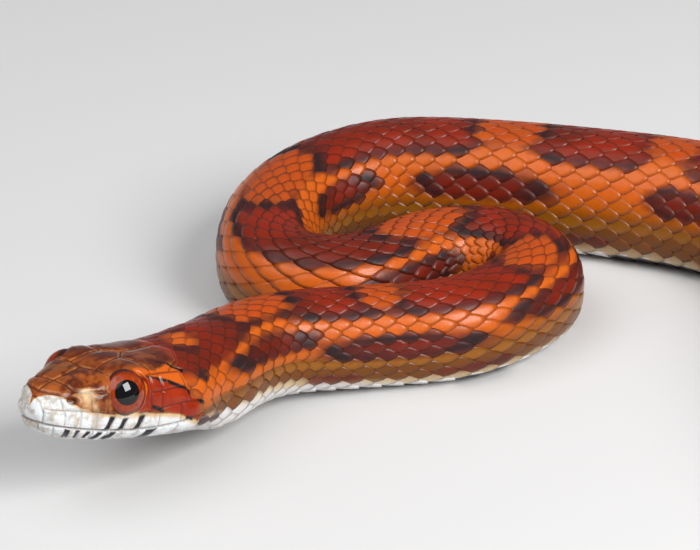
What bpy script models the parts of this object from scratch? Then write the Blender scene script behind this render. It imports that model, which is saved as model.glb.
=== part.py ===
"""Corn snake, life size, resting in loose S bends with its head raised a little.

Sizes are in millimetres and turned to metres when each mesh is made.
The body is a bread-loaf section swept along one route; the head is lofted in its
own frame (x back from the snout, y to the snake's left, z up) and then set down.
"""
import math

import bmesh
import bpy
import numpy as np
from mathutils import Matrix, Vector

MM = 0.001
GAP = 0.3                    # clear space between neighbouring nodes

# Head pose: snout position and the yaw, pitch and roll of the head in degrees
SNOUT = (-28.25, -50.0, 10.5)
YAW, PITCH, ROLL = 48.7, 12.0, 3.8
HEAD_END = 21.0              # where the head node meets the neck
HEAD_FOOT = -4.4             # belly height there, in the head frame
NECK_SLOPE = 7.0             # how steeply the neck leaves the head, degrees
NECK_EASE = 22.0             # length over which the roll of the head dies out

# Middle of the whole snake on the floor, which becomes the origin
HOME = (99.953, -11.658)

# Body section for a half-width of one: crown height, widest height, belly depth
CROWN, WAIST, BELLY = 1.92, 0.86, 0.06
ROUND_TOP, ROUND_LOW = 2.15, 2.8
SIDES = 18
STEP_TURN = 13.0             # greatest turn between two rings, degrees
STEP_LONG = 7.0              # greatest distance between two rings

# Head form by station: back from the snout, crown, chin, half-width, widest height,
# roundness above and below, and how much of the chin is flattened
HEAD_FORM = [
    (0.00, 1.05, 0.10, 0.70, 0.55, 2.0, 2.0, 0.0), (0.20, 1.60, -0.50, 1.40, 0.50, 2.2, 2.1, 0.0),
    (0.55, 2.00, -1.05, 1.95, 0.40, 2.4, 2.2, 0.0), (1.10, 2.32, -1.50, 2.42, 0.30, 2.6, 2.3, 0.0),
    (1.90, 2.58, -1.90, 2.85, 0.15, 2.7, 2.3, 0.0), (3.00, 2.82, -2.28, 3.22, 0.00, 2.9, 2.3, 0.0),
    (4.40, 3.08, -2.60, 3.58, -0.20, 3.2, 2.3, 0.0), (5.60, 3.34, -2.80, 3.95, -0.30, 3.6, 2.3, 0.0),
    (6.50, 3.62, -2.92, 4.25, -0.35, 4.4, 2.3, 0.0), (7.30, 3.90, -3.02, 4.50, -0.40, 5.4, 2.3, 0.0),
    (8.10, 4.06, -3.10, 4.72, -0.42, 6.0, 2.3, 0.0), (9.00, 4.11, -3.22, 4.90, -0.45, 5.6, 2.3, 0.0),
    (10.0, 4.11, -3.34, 5.10, -0.50, 4.4, 2.3, 0.0), (11.3, 4.09, -3.52, 5.35, -0.55, 3.4, 2.3, 0.0),
    (12.8, 4.06, -3.70, 5.68, -0.60, 2.9, 2.25, 0.0), (14.4, 4.08, -3.86, 5.98, -0.62, 2.6, 2.2, 0.0),
    (16.0, 4.20, -4.00, 6.08, -0.62, 2.45, 2.15, 0.0), (17.4, 4.40, -4.12, 5.88, -0.55, 2.35, 2.15, 0.03),
    (18.6, 4.66, -4.22, 5.50, -0.42, 2.25, 2.3, 0.10), (19.8, 4.94, -4.32, 5.20, -0.25, 2.2, 2.55, 0.20),
    (21.0, 5.20, -4.40, 5.00, -0.10, 2.15, 2.8, 0.30),
]
TURN_FROM = 16.0             # the last stations turn towards the line of the neck
AROUND = 30
WELDS = (0.006, 0.010, 0.015, 0.022, 0.030)  # tried in turn until the mesh is closed
PLATE = 0.13                 # how far the head plates stand up
SUTURE = 0.11                # half the groove between two plates

# Line of the mouth and the top line of the upper lip plates (x, z)
MOUTH = [(-1.0, -0.35), (0.6, -0.40), (2.0, -0.65), (5.0, -1.15), (8.0, -1.50), (11.0, -1.58),
         (14.0, -1.30), (16.2, -0.85)]
LIP_TOP = [(0.5, 1.00), (2.5, 0.85), (4.0, 0.60), (6.0, 0.20), (8.0, -0.05), (10.0, 0.00),
           (12.0, 0.35), (14.0, 0.50), (16.2, 0.20)]
MOUTH_END = 16.2
LIP_JOINTS = (1.5, 2.9, 4.4, 5.9, 7.4, 9.1, 11.0, 13.3, 15.8)
CHIN_JOINTS = (1.6, 2.9, 4.3, 5.8, 7.4, 9.1, 11.0, 13.2, 15.6)

# Eye: centre, its half-thickness and its radius, and its tilt forward and up
EYE_AT = (8.0, 3.85, 1.88)
EYE_DEEP, EYE_WIDE = 1.65, 1.88
EYE_FORWARD, EYE_UP = 8.0, 12.0
NOSTRIL_AT = (2.15, 1.75)

# Crown plates seen from above (x, y), left side; the frontal is the one in the middle
CROWN_PLATES = {
    "internasal": [(0.75, 0.0), (0.95, 1.1), (1.7, 2.1), (2.5, 1.9), (2.55, 0.0)],
    "prefrontal": [(2.55, 0.0), (2.5, 1.9), (3.0, 2.8), (5.2, 3.4), (6.2, 2.9), (6.1, 1.6),
                   (5.8, 0.0)],
    "supraocular": [(6.1, 1.6), (6.4, 3.0), (7.2, 4.7), (9.3, 4.95), (10.2, 3.9),
                    (9.5, 1.3), (7.7, 1.4)],
    "parietal": [(9.5, 1.3), (10.2, 3.9), (12.0, 4.2), (14.6, 3.5), (15.6, 1.9), (15.3, 0.4),
                 (14.6, 0.0), (10.9, 0.0)],
}
FRONTAL = [(5.8, 0.0), (6.1, 1.6), (7.7, 1.4), (9.5, 1.3), (10.9, 0.0), (9.5, -1.3),
           (7.7, -1.4), (6.1, -1.6)]

# Cheek plates seen from the side (x, z)
CHEEK_PLATES = {
    "nasal": [(1.40, 0.97), (1.5, 1.95), (2.6, 2.45), (3.8, 2.4), (3.85, 0.62), (2.5, 0.85)],
    "loreal": [(3.85, 0.62), (3.8, 2.2), (5.3, 2.2), (5.4, 0.32)],
    "preocular": [(5.4, 0.32), (5.3, 3.0), (6.3, 3.2), (6.1, 0.18)],
    "low_postocular": [(10.05, 0.0), (9.9, 1.8), (11.2, 1.8), (11.2, 0.2)],
    "high_postocular": [(9.9, 1.8), (9.9, 3.3), (11.0, 3.2), (11.2, 1.8)],
    "low_temporal": [(11.2, 0.2), (11.2, 1.8), (13.9, 1.9), (14.3, 0.48), (12.0, 0.35)],
    "high_temporal": [(11.2, 1.8), (11.0, 3.0), (13.7, 3.0), (13.9, 1.9)],
}
ROSTRAL = [(-1.25, -0.3), (-1.4, 0.5), (-0.9, 1.45), (0.0, 1.8), (0.9, 1.45), (1.4, 0.5),
           (1.25, -0.3)]

# Half-width of the body by distance behind the head
GIRTH = [(0, 5.0), (10, 4.85), (30, 4.85), (52, 5.05), (75, 5.15), (88, 5.45), (98, 5.9),
         (108, 6.35), (140, 6.6), (190, 7.2), (260, 7.7), (400, 7.7), (500, 7.0),
         (570, 6.0), (615, 5.0), (628, 4.5), (680, 2.9), (720, 1.5), (740, 0.7)]

# The route of the spine over the floor, node by node; each ends where it is cut
ROUTE = [
    ("neck", [(-12.2, -31.2), (-10.0, -27.9), (-7.2, -25.5), (-4.0, -24.1), (-0.9, -23.3),
              (2.0, -22.6)]),
    ("torso_1", [(5.4, -21.9), (9.0, -21.1), (12.0, -19.7), (14.7, -17.5), (17.1, -14.7),
                 (18.6, -11.8)]),
    ("torso_2", [(18.3, -8.4), (16.2, -5.9), (13.1, -4.9), (9.9, -5.2), (6.9, -6.9),
                 (4.0, -9.4), (1.0, -11.5), (-2.2, -12.2), (-5.2, -11.3), (-7.6, -8.8),
                 (-8.5, -5.3), (-8.5, -1.8)]),
    ("torso_3", [(-7.8, 1.9), (-6.3, 5.3), (-3.9, 8.3), (-0.8, 10.6), (3.0, 12.0),
                 (8.0, 12.2), (15.0, 11.1), (21.5, 9.6), (28.0, 7.8), (34.5, 5.6)]),
    ("torso_4", [(42.0, 1.0), (48.0, -7.5), (51.3, -20.0), (52.2, -35.0), (53.6, -49.5),
                 (57.6, -60.0), (67.0, -64.0)]),
    ("torso_5", [(76.0, -60.5), (80.0, -51.0), (80.5, -32.0), (79.4, -12.0), (79.8, 9.0),
                 (81.6, 26.0), (85.8, 36.4), (95.0, 40.4)]),
    ("torso_6", [(104.0, 36.6), (107.8, 27.0), (107.8, 8.0), (106.4, -12.0), (107.0, -31.0),
                 (110.8, -41.4), (120.0, -45.4)]),
    ("torso_7", [(129.2, -41.6), (133.0, -32.0), (133.6, -14.0), (132.8, 3.0), (134.0, 18.0),
                 (137.8, 27.6), (146.6, 31.5)]),
    ("torso_8", [(155.4, 27.8), (159.2, 19.0), (160.0, 4.0), (159.2, -9.0), (160.2, -20.5),
                 (163.6, -29.0), (171.6, -32.4)]),
    ("tail_base", [(179.6, -29.0), (183.0, -20.8), (183.8, -9.0), (183.2, 0.0), (184.0, 8.6),
                   (187.0, 15.6), (193.6, 18.6)]),
    ("tail_mid", [(200.2, 15.6), (203.0, 8.8), (204.0, -1.0), (205.6, -10.0)]),
    ("tail_tip", [(209.0, -17.0), (215.0, -21.5), (222.0, -22.5), (229.0, -20.0)]),
]


def head_axes():
    """Return the forward, left and up directions of the head."""
    yaw, pitch, roll = (math.radians(v) for v in (YAW, PITCH, ROLL))
    forward = np.array([-math.cos(yaw), -math.sin(yaw), 0.0])
    left = np.array([math.sin(yaw), -math.cos(yaw), 0.0])
    up = np.array([0.0, 0.0, 1.0])
    forward, up = (forward * math.cos(pitch) + up * math.sin(pitch),
                   up * math.cos(pitch) - forward * math.sin(pitch))
    left, up = (left * math.cos(roll) + up * math.sin(roll),
                up * math.cos(roll) - left * math.sin(roll))
    return forward, left, up


def from_head(x, y, z):
    """Place a point of the head frame in the room, in millimetres."""
    forward, left, up = head_axes()
    return np.array(SNOUT) - x * forward + y * left + z * up


def head_foot(ahead=0.0):
    """Return the belly point of the head's end face, or one further back along it."""
    lean = math.tan(math.radians(PITCH - NECK_SLOPE))
    return from_head(HEAD_END + ahead - HEAD_FOOT * lean, 0.0, HEAD_FOOT)


def spline(points):
    """Return a function giving the natural cubic through points, by distance."""
    pts = np.array(points, float)
    knots = np.concatenate([[0.0], np.cumsum(np.linalg.norm(np.diff(pts, axis=0), axis=1))])
    count = len(knots)
    step = np.diff(knots)
    system = np.eye(count)
    right = np.zeros_like(pts)
    for i in range(1, count - 1):
        system[i, i - 1:i + 2] = step[i - 1], 2 * (step[i - 1] + step[i]), step[i]
        right[i] = 6 * ((pts[i + 1] - pts[i]) / step[i] - (pts[i] - pts[i - 1]) / step[i - 1])
    bend = np.linalg.solve(system, right)

    def at(s):
        i = int(np.clip(np.searchsorted(knots, s) - 1, 0, count - 2))
        h, a, b = step[i], knots[i + 1] - s, s - knots[i]
        return (bend[i] * a ** 3 / (6 * h) + bend[i + 1] * b ** 3 / (6 * h)
                + (pts[i] / h - bend[i] * h / 6) * a + (pts[i + 1] / h - bend[i + 1] * h / 6) * b)
    return at, knots


def girth(s):
    """Half-width of the body at a distance behind the head."""
    table = np.array(GIRTH, float)
    return float(np.interp(s, table[:, 0], table[:, 1]))


def sample_route():
    """Return rings along the route: position, heading, distance, and the cut distances."""
    points = [tuple(head_foot(ahead)[:2]) for ahead in (0.0, 1.6)]
    cuts = {}
    for name, waypoints in ROUTE:
        points += waypoints
        cuts[name] = len(points) - 1
    at, knots = spline(points)
    fine = np.linspace(0.0, knots[-1], 6000)
    line = np.array([at(s) for s in fine])
    leaps = np.diff(line, axis=0)
    along = np.concatenate([[0.0], np.cumsum(np.linalg.norm(leaps, axis=1))])
    turn = np.unwrap(np.arctan2(leaps[:, 1], leaps[:, 0]))
    turn = np.append(turn, turn[-1])
    ends = [(name, float(np.interp(knots[i], fine, along))) for name, i in cuts.items()]
    return line, along, turn, ends


def lift(s):
    """Height of the belly over the floor at a distance behind the head."""
    height = head_foot()[2]
    landing = 2.0 * height / math.tan(math.radians(NECK_SLOPE))
    return float(height * max(0.0, 1.0 - s / landing) ** 2)


def section():
    """Return the body section for a half-width of one, belly at zero."""
    ring = []
    for i in range(SIDES):
        turn = 2 * math.pi * (i + 0.5) / SIDES
        side, rise = math.sin(turn), math.cos(turn)
        power = ROUND_TOP if rise > 0 else ROUND_LOW
        y = math.copysign(abs(side) ** (2 / power), side)
        reach = CROWN - WAIST if rise > 0 else WAIST + BELLY
        z = WAIST + math.copysign(abs(rise) ** (2 / power), rise) * reach
        ring.append((y, max(z, 0.0)))
    return ring


# BUILD
def material(name, color, rough):
    """Make a plain material with its own colour and roughness."""
    mat = bpy.data.materials.new(name)
    mat.use_nodes = True
    shader = mat.node_tree.nodes["Principled BSDF"]
    shader.inputs["Base Color"].default_value = (*color, 1.0)
    shader.inputs["Roughness"].default_value = rough
    mat.diffuse_color = (*color, 1.0)
    return mat


def add(name, mesh):
    """Put a mesh in the scene under a name."""
    obj = bpy.data.objects.new(name, mesh)
    bpy.context.scene.collection.objects.link(obj)
    return obj


def drop(obj):
    """Remove an object."""
    bpy.data.objects.remove(obj, do_unlink=True)


def baked(obj, name):
    """Turn an object with its modifiers into a plain mesh object."""
    bpy.context.view_layer.update()
    graph = bpy.context.evaluated_depsgraph_get()
    mesh = bpy.data.meshes.new_from_object(obj.evaluated_get(graph))
    drop(obj)
    return add(name, mesh)


def ordered(obj):
    """Put vertices and faces in one fixed order, so that each run builds the same mesh."""
    spots = [tuple(round(c / MM, 4) for c in v.co) for v in obj.data.vertices]
    order = sorted(range(len(spots)), key=spots.__getitem__)
    rank = {old: new for new, old in enumerate(order)}
    faces = []
    for face in obj.data.polygons:
        loop = [rank[i] for i in face.vertices]
        first = loop.index(min(loop))
        faces.append(loop[first:] + loop[:first])
    mesh = bpy.data.meshes.new(obj.name)
    mesh.from_pydata([[c * MM for c in spots[i]] for i in order], [], sorted(faces))
    obj.data = mesh


def triangles(obj):
    """Split every face into triangles, always in the same order."""
    ordered(obj)
    bm = bmesh.new()
    bm.from_mesh(obj.data)
    bmesh.ops.triangulate(bm, faces=bm.faces)
    bm.to_mesh(obj.data)
    bm.free()


def boolean(obj, tool, operation):
    """Apply one Boolean with a tool object and remove the tool."""
    triangles(obj)
    triangles(tool)
    step = obj.modifiers.new(operation, "BOOLEAN")
    step.operation = operation
    step.solver = "MANIFOLD"
    step.object = tool
    done = baked(obj, obj.name)
    drop(tool)
    return done


def boolean_many(obj, tools, operation):
    """Apply one Boolean after another with several tool objects."""
    for tool in tools:
        obj = boolean(obj, tool, operation)
    return obj


def largest_surface(bm):
    """Return the vertices of the largest connected surface of a mesh."""
    left = set(bm.verts)
    groups = []
    for seed in bm.verts:
        if seed not in left:
            continue
        left.discard(seed)
        group, edge = [seed], [seed]
        while edge:
            for link in edge.pop().link_edges:
                for vert in link.verts:
                    if vert in left:
                        left.discard(vert)
                        group.append(vert)
                        edge.append(vert)
        groups.append(group)
    return set(max(groups, key=len))


def keep_largest(obj):
    """Keep the largest closed surface, welded just enough to have no broken edge."""
    for reach in WELDS:
        bm = bmesh.new()
        bm.from_mesh(obj.data)
        bmesh.ops.remove_doubles(bm, verts=bm.verts, dist=reach * MM)
        bmesh.ops.dissolve_degenerate(bm, edges=bm.edges, dist=reach * MM)
        bmesh.ops.triangulate(bm, faces=bm.faces)
        best = largest_surface(bm)
        bmesh.ops.delete(bm, geom=[v for v in bm.verts if v not in best], context="VERTS")
        bmesh.ops.recalc_face_normals(bm, faces=bm.faces)
        whole = all(e.is_contiguous for e in bm.edges) and all(v.is_manifold for v in bm.verts)
        if whole or reach == WELDS[-1]:
            bm.to_mesh(obj.data)
        bm.free()
        if whole:
            return


def body_nodes(skin):
    """Sweep the body section along the route, one curve for each node."""
    line, along, turn, ends = sample_route()
    profile = bpy.data.curves.new("section", "CURVE")
    profile.dimensions = "2D"
    loop = profile.splines.new("POLY")
    ring = section()
    loop.points.add(len(ring) - 1)
    for point, (y, z) in zip(loop.points, ring):
        point.co = (y * MM, z * MM, 0.0, 1.0)
    loop.use_cyclic_u = True
    profile_obj = add("section", profile)

    start = GAP / 2
    for name, end in ends:
        first, last = start + GAP / 2, end - GAP / 2
        stops = [first, first + GAP]
        while stops[-1] < last - GAP:
            s = stops[-1]
            long_step = min(STEP_LONG, 0.55 * girth(s) + 2.5)
            reach = np.linspace(s, s + long_step, 12)
            bend = np.abs(np.interp(reach, along, turn) - np.interp(s, along, turn))
            ok = reach[bend <= math.radians(STEP_TURN)]
            stops.append(max(float(ok[-1]), s + 0.5))
        while stops[-1] > last - 1.0:
            stops.pop()
        stops += [last - GAP, last]
        curve = bpy.data.curves.new(name, "CURVE")
        curve.dimensions = "3D"
        curve.twist_mode = "Z_UP"
        curve.bevel_mode = "OBJECT"
        curve.bevel_object = profile_obj
        curve.use_fill_caps = True
        track = curve.splines.new("POLY")
        track.points.add(len(stops) - 1)
        for i, (point, s) in enumerate(zip(track.points, stops)):
            cut = start if i < 2 else end if i > len(stops) - 3 else s
            x, y = (float(np.interp(cut, along, line[:, k])) for k in (0, 1))
            way = float(np.interp(cut, along, turn))
            x += (s - cut) * math.cos(way)
            y += (s - cut) * math.sin(way)
            point.co = (x * MM, y * MM, lift(s) * MM, 1.0)
            point.radius = girth(s)
            point.tilt = math.radians(ROLL) * max(0.0, 1.0 - s / NECK_EASE)
        node = baked(add(name, curve), name)
        keep_largest(node)
        node.data.materials.clear()
        node.data.materials.append(skin)
        start = end
    drop(profile_obj)


def head_form(name, grow=0.0):
    """Loft the head form, grown outward by a distance, as a closed mesh."""
    bm = bmesh.new()
    rings = []
    for x, crown, chin, wide, waist, top_power, low_power, sink in HEAD_FORM:
        middle = (crown + chin) / 2
        ring = []
        for i in range(AROUND):
            turn = 2 * math.pi * (i + 0.5) / AROUND
            side, rise = math.sin(turn), math.cos(turn)
            power = top_power if rise > 0 else low_power
            y = math.copysign(abs(side) ** (2 / power), side) * (wide + grow)
            reach = crown + grow - waist if rise > 0 else waist - chin + grow + sink
            z = waist + math.copysign(abs(rise) ** (2 / power), rise) * reach
            z = max(z, chin - grow)
            back = x - grow if x < 0.1 else x
            turned = max(0.0, (x - TURN_FROM) / (HEAD_END - TURN_FROM))
            back -= turned * z * math.tan(math.radians(PITCH - NECK_SLOPE))
            ring.append(bm.verts.new(Vector((back, y, z)) * MM))
        rings.append((ring, middle))
    for (ring, _), (after, _) in zip(rings, rings[1:]):
        for i in range(AROUND):
            j = (i + 1) % AROUND
            bm.faces.new((ring[i], ring[j], after[j], after[i]))
    bm.faces.new(rings[0][0])
    bm.faces.new(list(reversed(rings[-1][0])))
    bmesh.ops.recalc_face_normals(bm, faces=bm.faces)
    mesh = bpy.data.meshes.new(name)
    bm.to_mesh(mesh)
    bm.free()
    return add(name, mesh)


def inset(corners, by):
    """Move the sides of an outline inward by a distance."""
    pts = [np.array(c, float) for c in corners]
    area = sum(a[0] * b[1] - b[0] * a[1] for a, b in zip(pts, pts[1:] + pts[:1]))
    lines = []
    for a, b in zip(pts, pts[1:] + pts[:1]):
        along = (b - a) / np.linalg.norm(b - a)
        inward = np.array([-along[1], along[0]]) * math.copysign(1.0, area)
        lines.append((a + inward * by, along))
    out = []
    for (p, u), (q, v) in zip(lines[-1:] + lines[:-1], lines):
        cross = u[0] * v[1] - u[1] * v[0]
        if abs(cross) < 0.05:
            out.append(tuple(q))
            continue
        gap = q - p
        out.append(tuple(p + u * ((gap[0] * v[1] - gap[1] * v[0]) / cross)))
    return out


def prisms(name, outlines, axis, low, high):
    """Extrude flat outlines between two levels along an axis, as one mesh."""
    bm = bmesh.new()
    for outline in outlines:
        ends = []
        for level in (low, high):
            corners = [list(c) for c in outline]
            for c in corners:
                c.insert(axis, level)
            ends.append([bm.verts.new(Vector(c) * MM) for c in corners])
        count = len(outline)
        bm.faces.new(ends[0])
        bm.faces.new(list(reversed(ends[1])))
        for i in range(count):
            j = (i + 1) % count
            bm.faces.new((ends[0][i], ends[1][i], ends[1][j], ends[0][j]))
    bmesh.ops.recalc_face_normals(bm, faces=bm.faces)
    mesh = bpy.data.meshes.new(name)
    bm.to_mesh(mesh)
    bm.free()
    return add(name, mesh)


def level(table, x):
    """Read a height table at a distance from the snout."""
    rows = np.array(table)
    return float(np.interp(x, rows[:, 0], rows[:, 1]))


def lip_outlines(joints, top, low):
    """Outlines of a row of lip plates between two height functions."""
    outlines = []
    for a, b in zip(joints, joints[1:]):
        middle = (a + b) / 2
        outlines.append([(x, low(x)) for x in (a, middle, b)] + [(x, top(x)) for x in (b, middle, a)])
    return outlines


def plates(shell, outlines, axis, low, high):
    """Cut plates of given outlines out of a shell around a form."""
    shrunk = [inset(outline, SUTURE) for outline in outlines]
    return boolean(prisms("plates", shrunk, axis, low, high), shell, "INTERSECT")


def eye_ball(name, side, grow=0.0):
    """Make one flattened eyeball, looking out, a little forward and up."""
    bpy.ops.mesh.primitive_uv_sphere_add(segments=24, ring_count=14, radius=MM)
    ball = bpy.context.object
    ball.name = name
    shape = Matrix.Diagonal((EYE_WIDE + grow, EYE_WIDE + grow, EYE_DEEP + grow, 1.0))
    look = Vector((-math.sin(math.radians(EYE_FORWARD)),
                   side * math.cos(math.radians(EYE_FORWARD)), math.tan(math.radians(EYE_UP))))
    turn = look.to_track_quat("Z", "Y").to_matrix().to_4x4()
    x, y, z = EYE_AT
    spot = Matrix.Translation(Vector((x, side * y, z)) * MM)
    ball.data.transform(spot @ turn @ shape)
    return ball


def to_room(obj):
    """Move a finished head piece from the head frame into the room."""
    forward, left, up = head_axes()
    turn = Matrix(((-forward[0], left[0], up[0]), (-forward[1], left[1], up[1]),
                   (-forward[2], left[2], up[2]))).to_4x4()
    obj.data.transform(Matrix.Translation(Vector(SNOUT) * MM) @ turn)


def head_nodes(skin, belly, iris):
    """Build the head, the lower jaw and both eyes."""
    below = [(x, z) for x, z in MOUTH] + [(MOUTH_END, -12.0), (-3.0, -12.0), (-3.0, -0.35)]
    jaw_room = [(x, z - GAP) for x, z in MOUTH]
    jaw_room[-1] = (MOUTH_END - GAP, jaw_room[-1][1])
    jaw_room += [(MOUTH_END - GAP, -12.0), (-3.0, -12.0), (-3.0, -0.35 - GAP)]

    crown = [FRONTAL]
    for outline in CROWN_PLATES.values():
        crown += [outline, [(x, -y) for x, y in outline]]
    cheeks = list(CHEEK_PLATES.values())
    cheeks += lip_outlines(LIP_JOINTS, lambda x: level(LIP_TOP, x), lambda x: level(MOUTH, x))
    rows = [(crown, 2, 1.2, 9.0), ([ROSTRAL], 0, -2.0, 1.2)]
    rows += [(cheeks, 1, 0.8 * side, 9.0 * side) for side in (1, -1)]
    parts = [plates(head_form("shell", PLATE), *row) for row in rows]
    head = boolean_many(head_form("head"), parts, "UNION")
    cutters = [prisms("below", [below], 1, -10.0, 10.0)]
    for side in (1, -1):
        cutters.append(eye_ball("socket", side, GAP))
        x, z = NOSTRIL_AT
        bpy.ops.mesh.primitive_cone_add(vertices=12, radius1=0.42 * MM, radius2=0.2 * MM,
                                        depth=1.6 * MM)
        pit = bpy.context.object
        pit.data.transform(Matrix.Translation(Vector((x, side * 2.9, z)) * MM)
                           @ Matrix.Rotation(math.radians(90 * side), 4, "X"))
        cutters.append(pit)
    head = boolean_many(head, cutters, "DIFFERENCE")

    chins = lip_outlines(CHIN_JOINTS, lambda x: level(MOUTH, x) - GAP - 0.02,
                         lambda x: level(MOUTH, x) - 1.35)
    parts = [plates(head_form("shell", 0.8 * PLATE), chins, 1, 0.8 * side, 9.0 * side)
             for side in (1, -1)]
    jaw = boolean_many(head_form("lower_jaw"), parts, "UNION")
    jaw = boolean(jaw, prisms("room", [jaw_room], 1, -10.0, 10.0), "INTERSECT")
    pieces = [(head, skin), (jaw, belly)]
    pieces += [(eye_ball(name, side), iris) for name, side in (("eye_left", 1), ("eye_right", -1))]
    for obj, mat in pieces:
        to_room(obj)
        triangles(obj)
        keep_largest(obj)
        obj.data.materials.clear()
        obj.data.materials.append(mat)


def main():
    """Build every node of the snake."""
    for obj in list(bpy.data.objects):
        bpy.data.objects.remove(obj, do_unlink=True)
    skin = material("scaled_skin", (0.50, 0.14, 0.04), 0.35)
    belly = material("white_lip_skin", (0.75, 0.70, 0.62), 0.35)
    iris = material("eye", (0.30, 0.07, 0.02), 0.08)
    body_nodes(skin)
    head_nodes(skin, belly, iris)
    for obj in bpy.data.objects:
        obj.data.transform(Matrix.Translation(Vector((-HOME[0], -HOME[1], 0.0)) * MM))


main()
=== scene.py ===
"""Looks of the corn snake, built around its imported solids.

Sizes are in millimetres and turned to metres when a mesh is made. Two coordinates
follow the animal: "along" runs from -21 at the snout through 0 at the neck to the
tail, and "side" runs from 0 on the middle of the back to 1 at the edge of the belly
plates, positive on the animal's left.
"""

import logging
import math
from dataclasses import dataclass, field
from enum import Enum

import bpy
import numpy as np
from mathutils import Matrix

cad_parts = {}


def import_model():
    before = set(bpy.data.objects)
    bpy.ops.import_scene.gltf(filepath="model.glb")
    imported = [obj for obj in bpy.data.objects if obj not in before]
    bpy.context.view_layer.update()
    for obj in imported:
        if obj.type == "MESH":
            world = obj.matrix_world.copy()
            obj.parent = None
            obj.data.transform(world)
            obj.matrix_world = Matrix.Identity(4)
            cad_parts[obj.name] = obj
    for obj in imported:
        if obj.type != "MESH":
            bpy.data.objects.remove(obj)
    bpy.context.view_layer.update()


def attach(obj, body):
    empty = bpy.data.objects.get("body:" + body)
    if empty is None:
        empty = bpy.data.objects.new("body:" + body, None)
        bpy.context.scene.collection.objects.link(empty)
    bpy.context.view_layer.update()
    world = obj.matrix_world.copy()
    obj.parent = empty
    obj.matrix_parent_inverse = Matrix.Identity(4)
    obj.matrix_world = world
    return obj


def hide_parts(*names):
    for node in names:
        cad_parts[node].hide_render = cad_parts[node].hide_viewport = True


MM = 0.001
# Depth of the finest grain, in metres
GRAIN_DEEP = 0.00006
LOG = logging.getLogger("corn_snake")
Array = np.ndarray
Table = tuple[tuple[float, ...], ...]
Colour = tuple[float, float, float]


class Slot(Enum):
    """Material slots of the record."""

    SKIN = "scaled_skin"
    LIP = "white_lip_skin"
    EYE = "eye"


def rise(low: float, high: float, value: Array) -> Array:
    """Go smoothly from 0 at low to 1 at high."""
    t = np.clip((value - low) / (high - low), 0.0, 1.0)
    return t * t * (3.0 - 2.0 * t)


def level(table: Table, at: Array) -> Array:
    """Read a table of places and values straight between its rows."""
    return np.interp(at, *np.array(table, float).T)


def smooth_rows(knots: Array, rows: Array, at: Array) -> Array:
    """Read a table between its rows with a smooth curve that never overshoots.

    Args:
        knots: Rising positions of the rows.
        rows: One row of values for each knot.
        at: Positions to read.

    Returns:
        One row of values for each position.
    """
    step = np.diff(knots)[:, None]
    slope = np.diff(rows, axis=0) / step
    tangent = np.zeros_like(rows)
    tangent[0], tangent[-1] = slope[0], slope[-1]
    before, after = slope[:-1], slope[1:]
    same = before * after > 0
    safe_before = np.where(same, before, 1.0)
    safe_after = np.where(same, after, 1.0)
    first = 2 * step[1:] + step[:-1]
    second = step[1:] + 2 * step[:-1]
    mean = (first + second) / (first / safe_before + second / safe_after)
    tangent[1:-1] = np.where(same, mean, 0.0)
    i = np.clip(np.searchsorted(knots, at, side="right") - 1, 0, len(knots) - 2)
    t = np.clip((at - knots[i]) / step[i, 0], 0.0, 1.0)[:, None]
    h = step[i]
    return (rows[i] * (2 * t**3 - 3 * t**2 + 1) + rows[i + 1] * (3 * t**2 - 2 * t**3)
            + tangent[i] * h * (t**3 - 2 * t**2 + t) + tangent[i + 1] * h * (t**3 - t**2))


def mesh_object(name: str, points: Array, faces: Array) -> bpy.types.Object:
    """Make an object from arrays of points and of faces with equal corner counts.

    Args:
        name: Name of the object.
        points: Points in millimetres.
        faces: Corner indices, one face a row.

    Returns:
        The new object, smooth shaded.
    """
    mesh = bpy.data.meshes.new(name)
    corners = faces.shape[1]
    mesh.vertices.add(len(points))
    mesh.vertices.foreach_set("co", (points * MM).astype(np.float32).ravel())
    mesh.loops.add(faces.size)
    mesh.loops.foreach_set("vertex_index", faces.astype(np.int32).ravel())
    mesh.polygons.add(len(faces))
    mesh.polygons.foreach_set("loop_start", np.arange(len(faces), dtype=np.int32) * corners)
    mesh.polygons.foreach_set("use_smooth", np.ones(len(faces), dtype=bool))
    mesh.update(calc_edges=True)
    mesh.validate()
    obj = bpy.data.objects.new(name, mesh)
    bpy.context.scene.collection.objects.link(obj)
    return obj


def store(obj: bpy.types.Object, masks: dict[str, Array]) -> None:
    """Keep named values on the vertices of an object."""
    for name, values in masks.items():
        layer = obj.data.attributes.new(name, "FLOAT", "POINT")
        layer.data.foreach_set("value", values.astype(np.float32))


def primitive(operator: str, name: str, **settings: object) -> bpy.types.Object:
    """Add one primitive with nothing else selected.

    Args:
        operator: Name of the operator in bpy.ops.mesh.
        name: Name of the new object.
        **settings: Settings of the operator.

    Returns:
        The new object.
    """
    bpy.ops.object.select_all(action="DESELECT")
    getattr(bpy.ops.mesh, operator)(**settings)
    obj = bpy.context.object
    obj.name = name
    return obj


def read_mesh(obj: bpy.types.Object) -> tuple[Array, Array]:
    """Return the points and triangles of an object and remove it."""
    mesh = obj.data
    mesh.calc_loop_triangles()
    points = np.empty(len(mesh.vertices) * 3, np.float32)
    mesh.vertices.foreach_get("co", points)
    triangles = np.empty(len(mesh.loop_triangles) * 3, np.int32)
    mesh.loop_triangles.foreach_get("vertices", triangles)
    bpy.data.objects.remove(obj, do_unlink=True)
    return points.reshape(-1, 3).astype(float), triangles.reshape(-1, 3)


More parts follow.
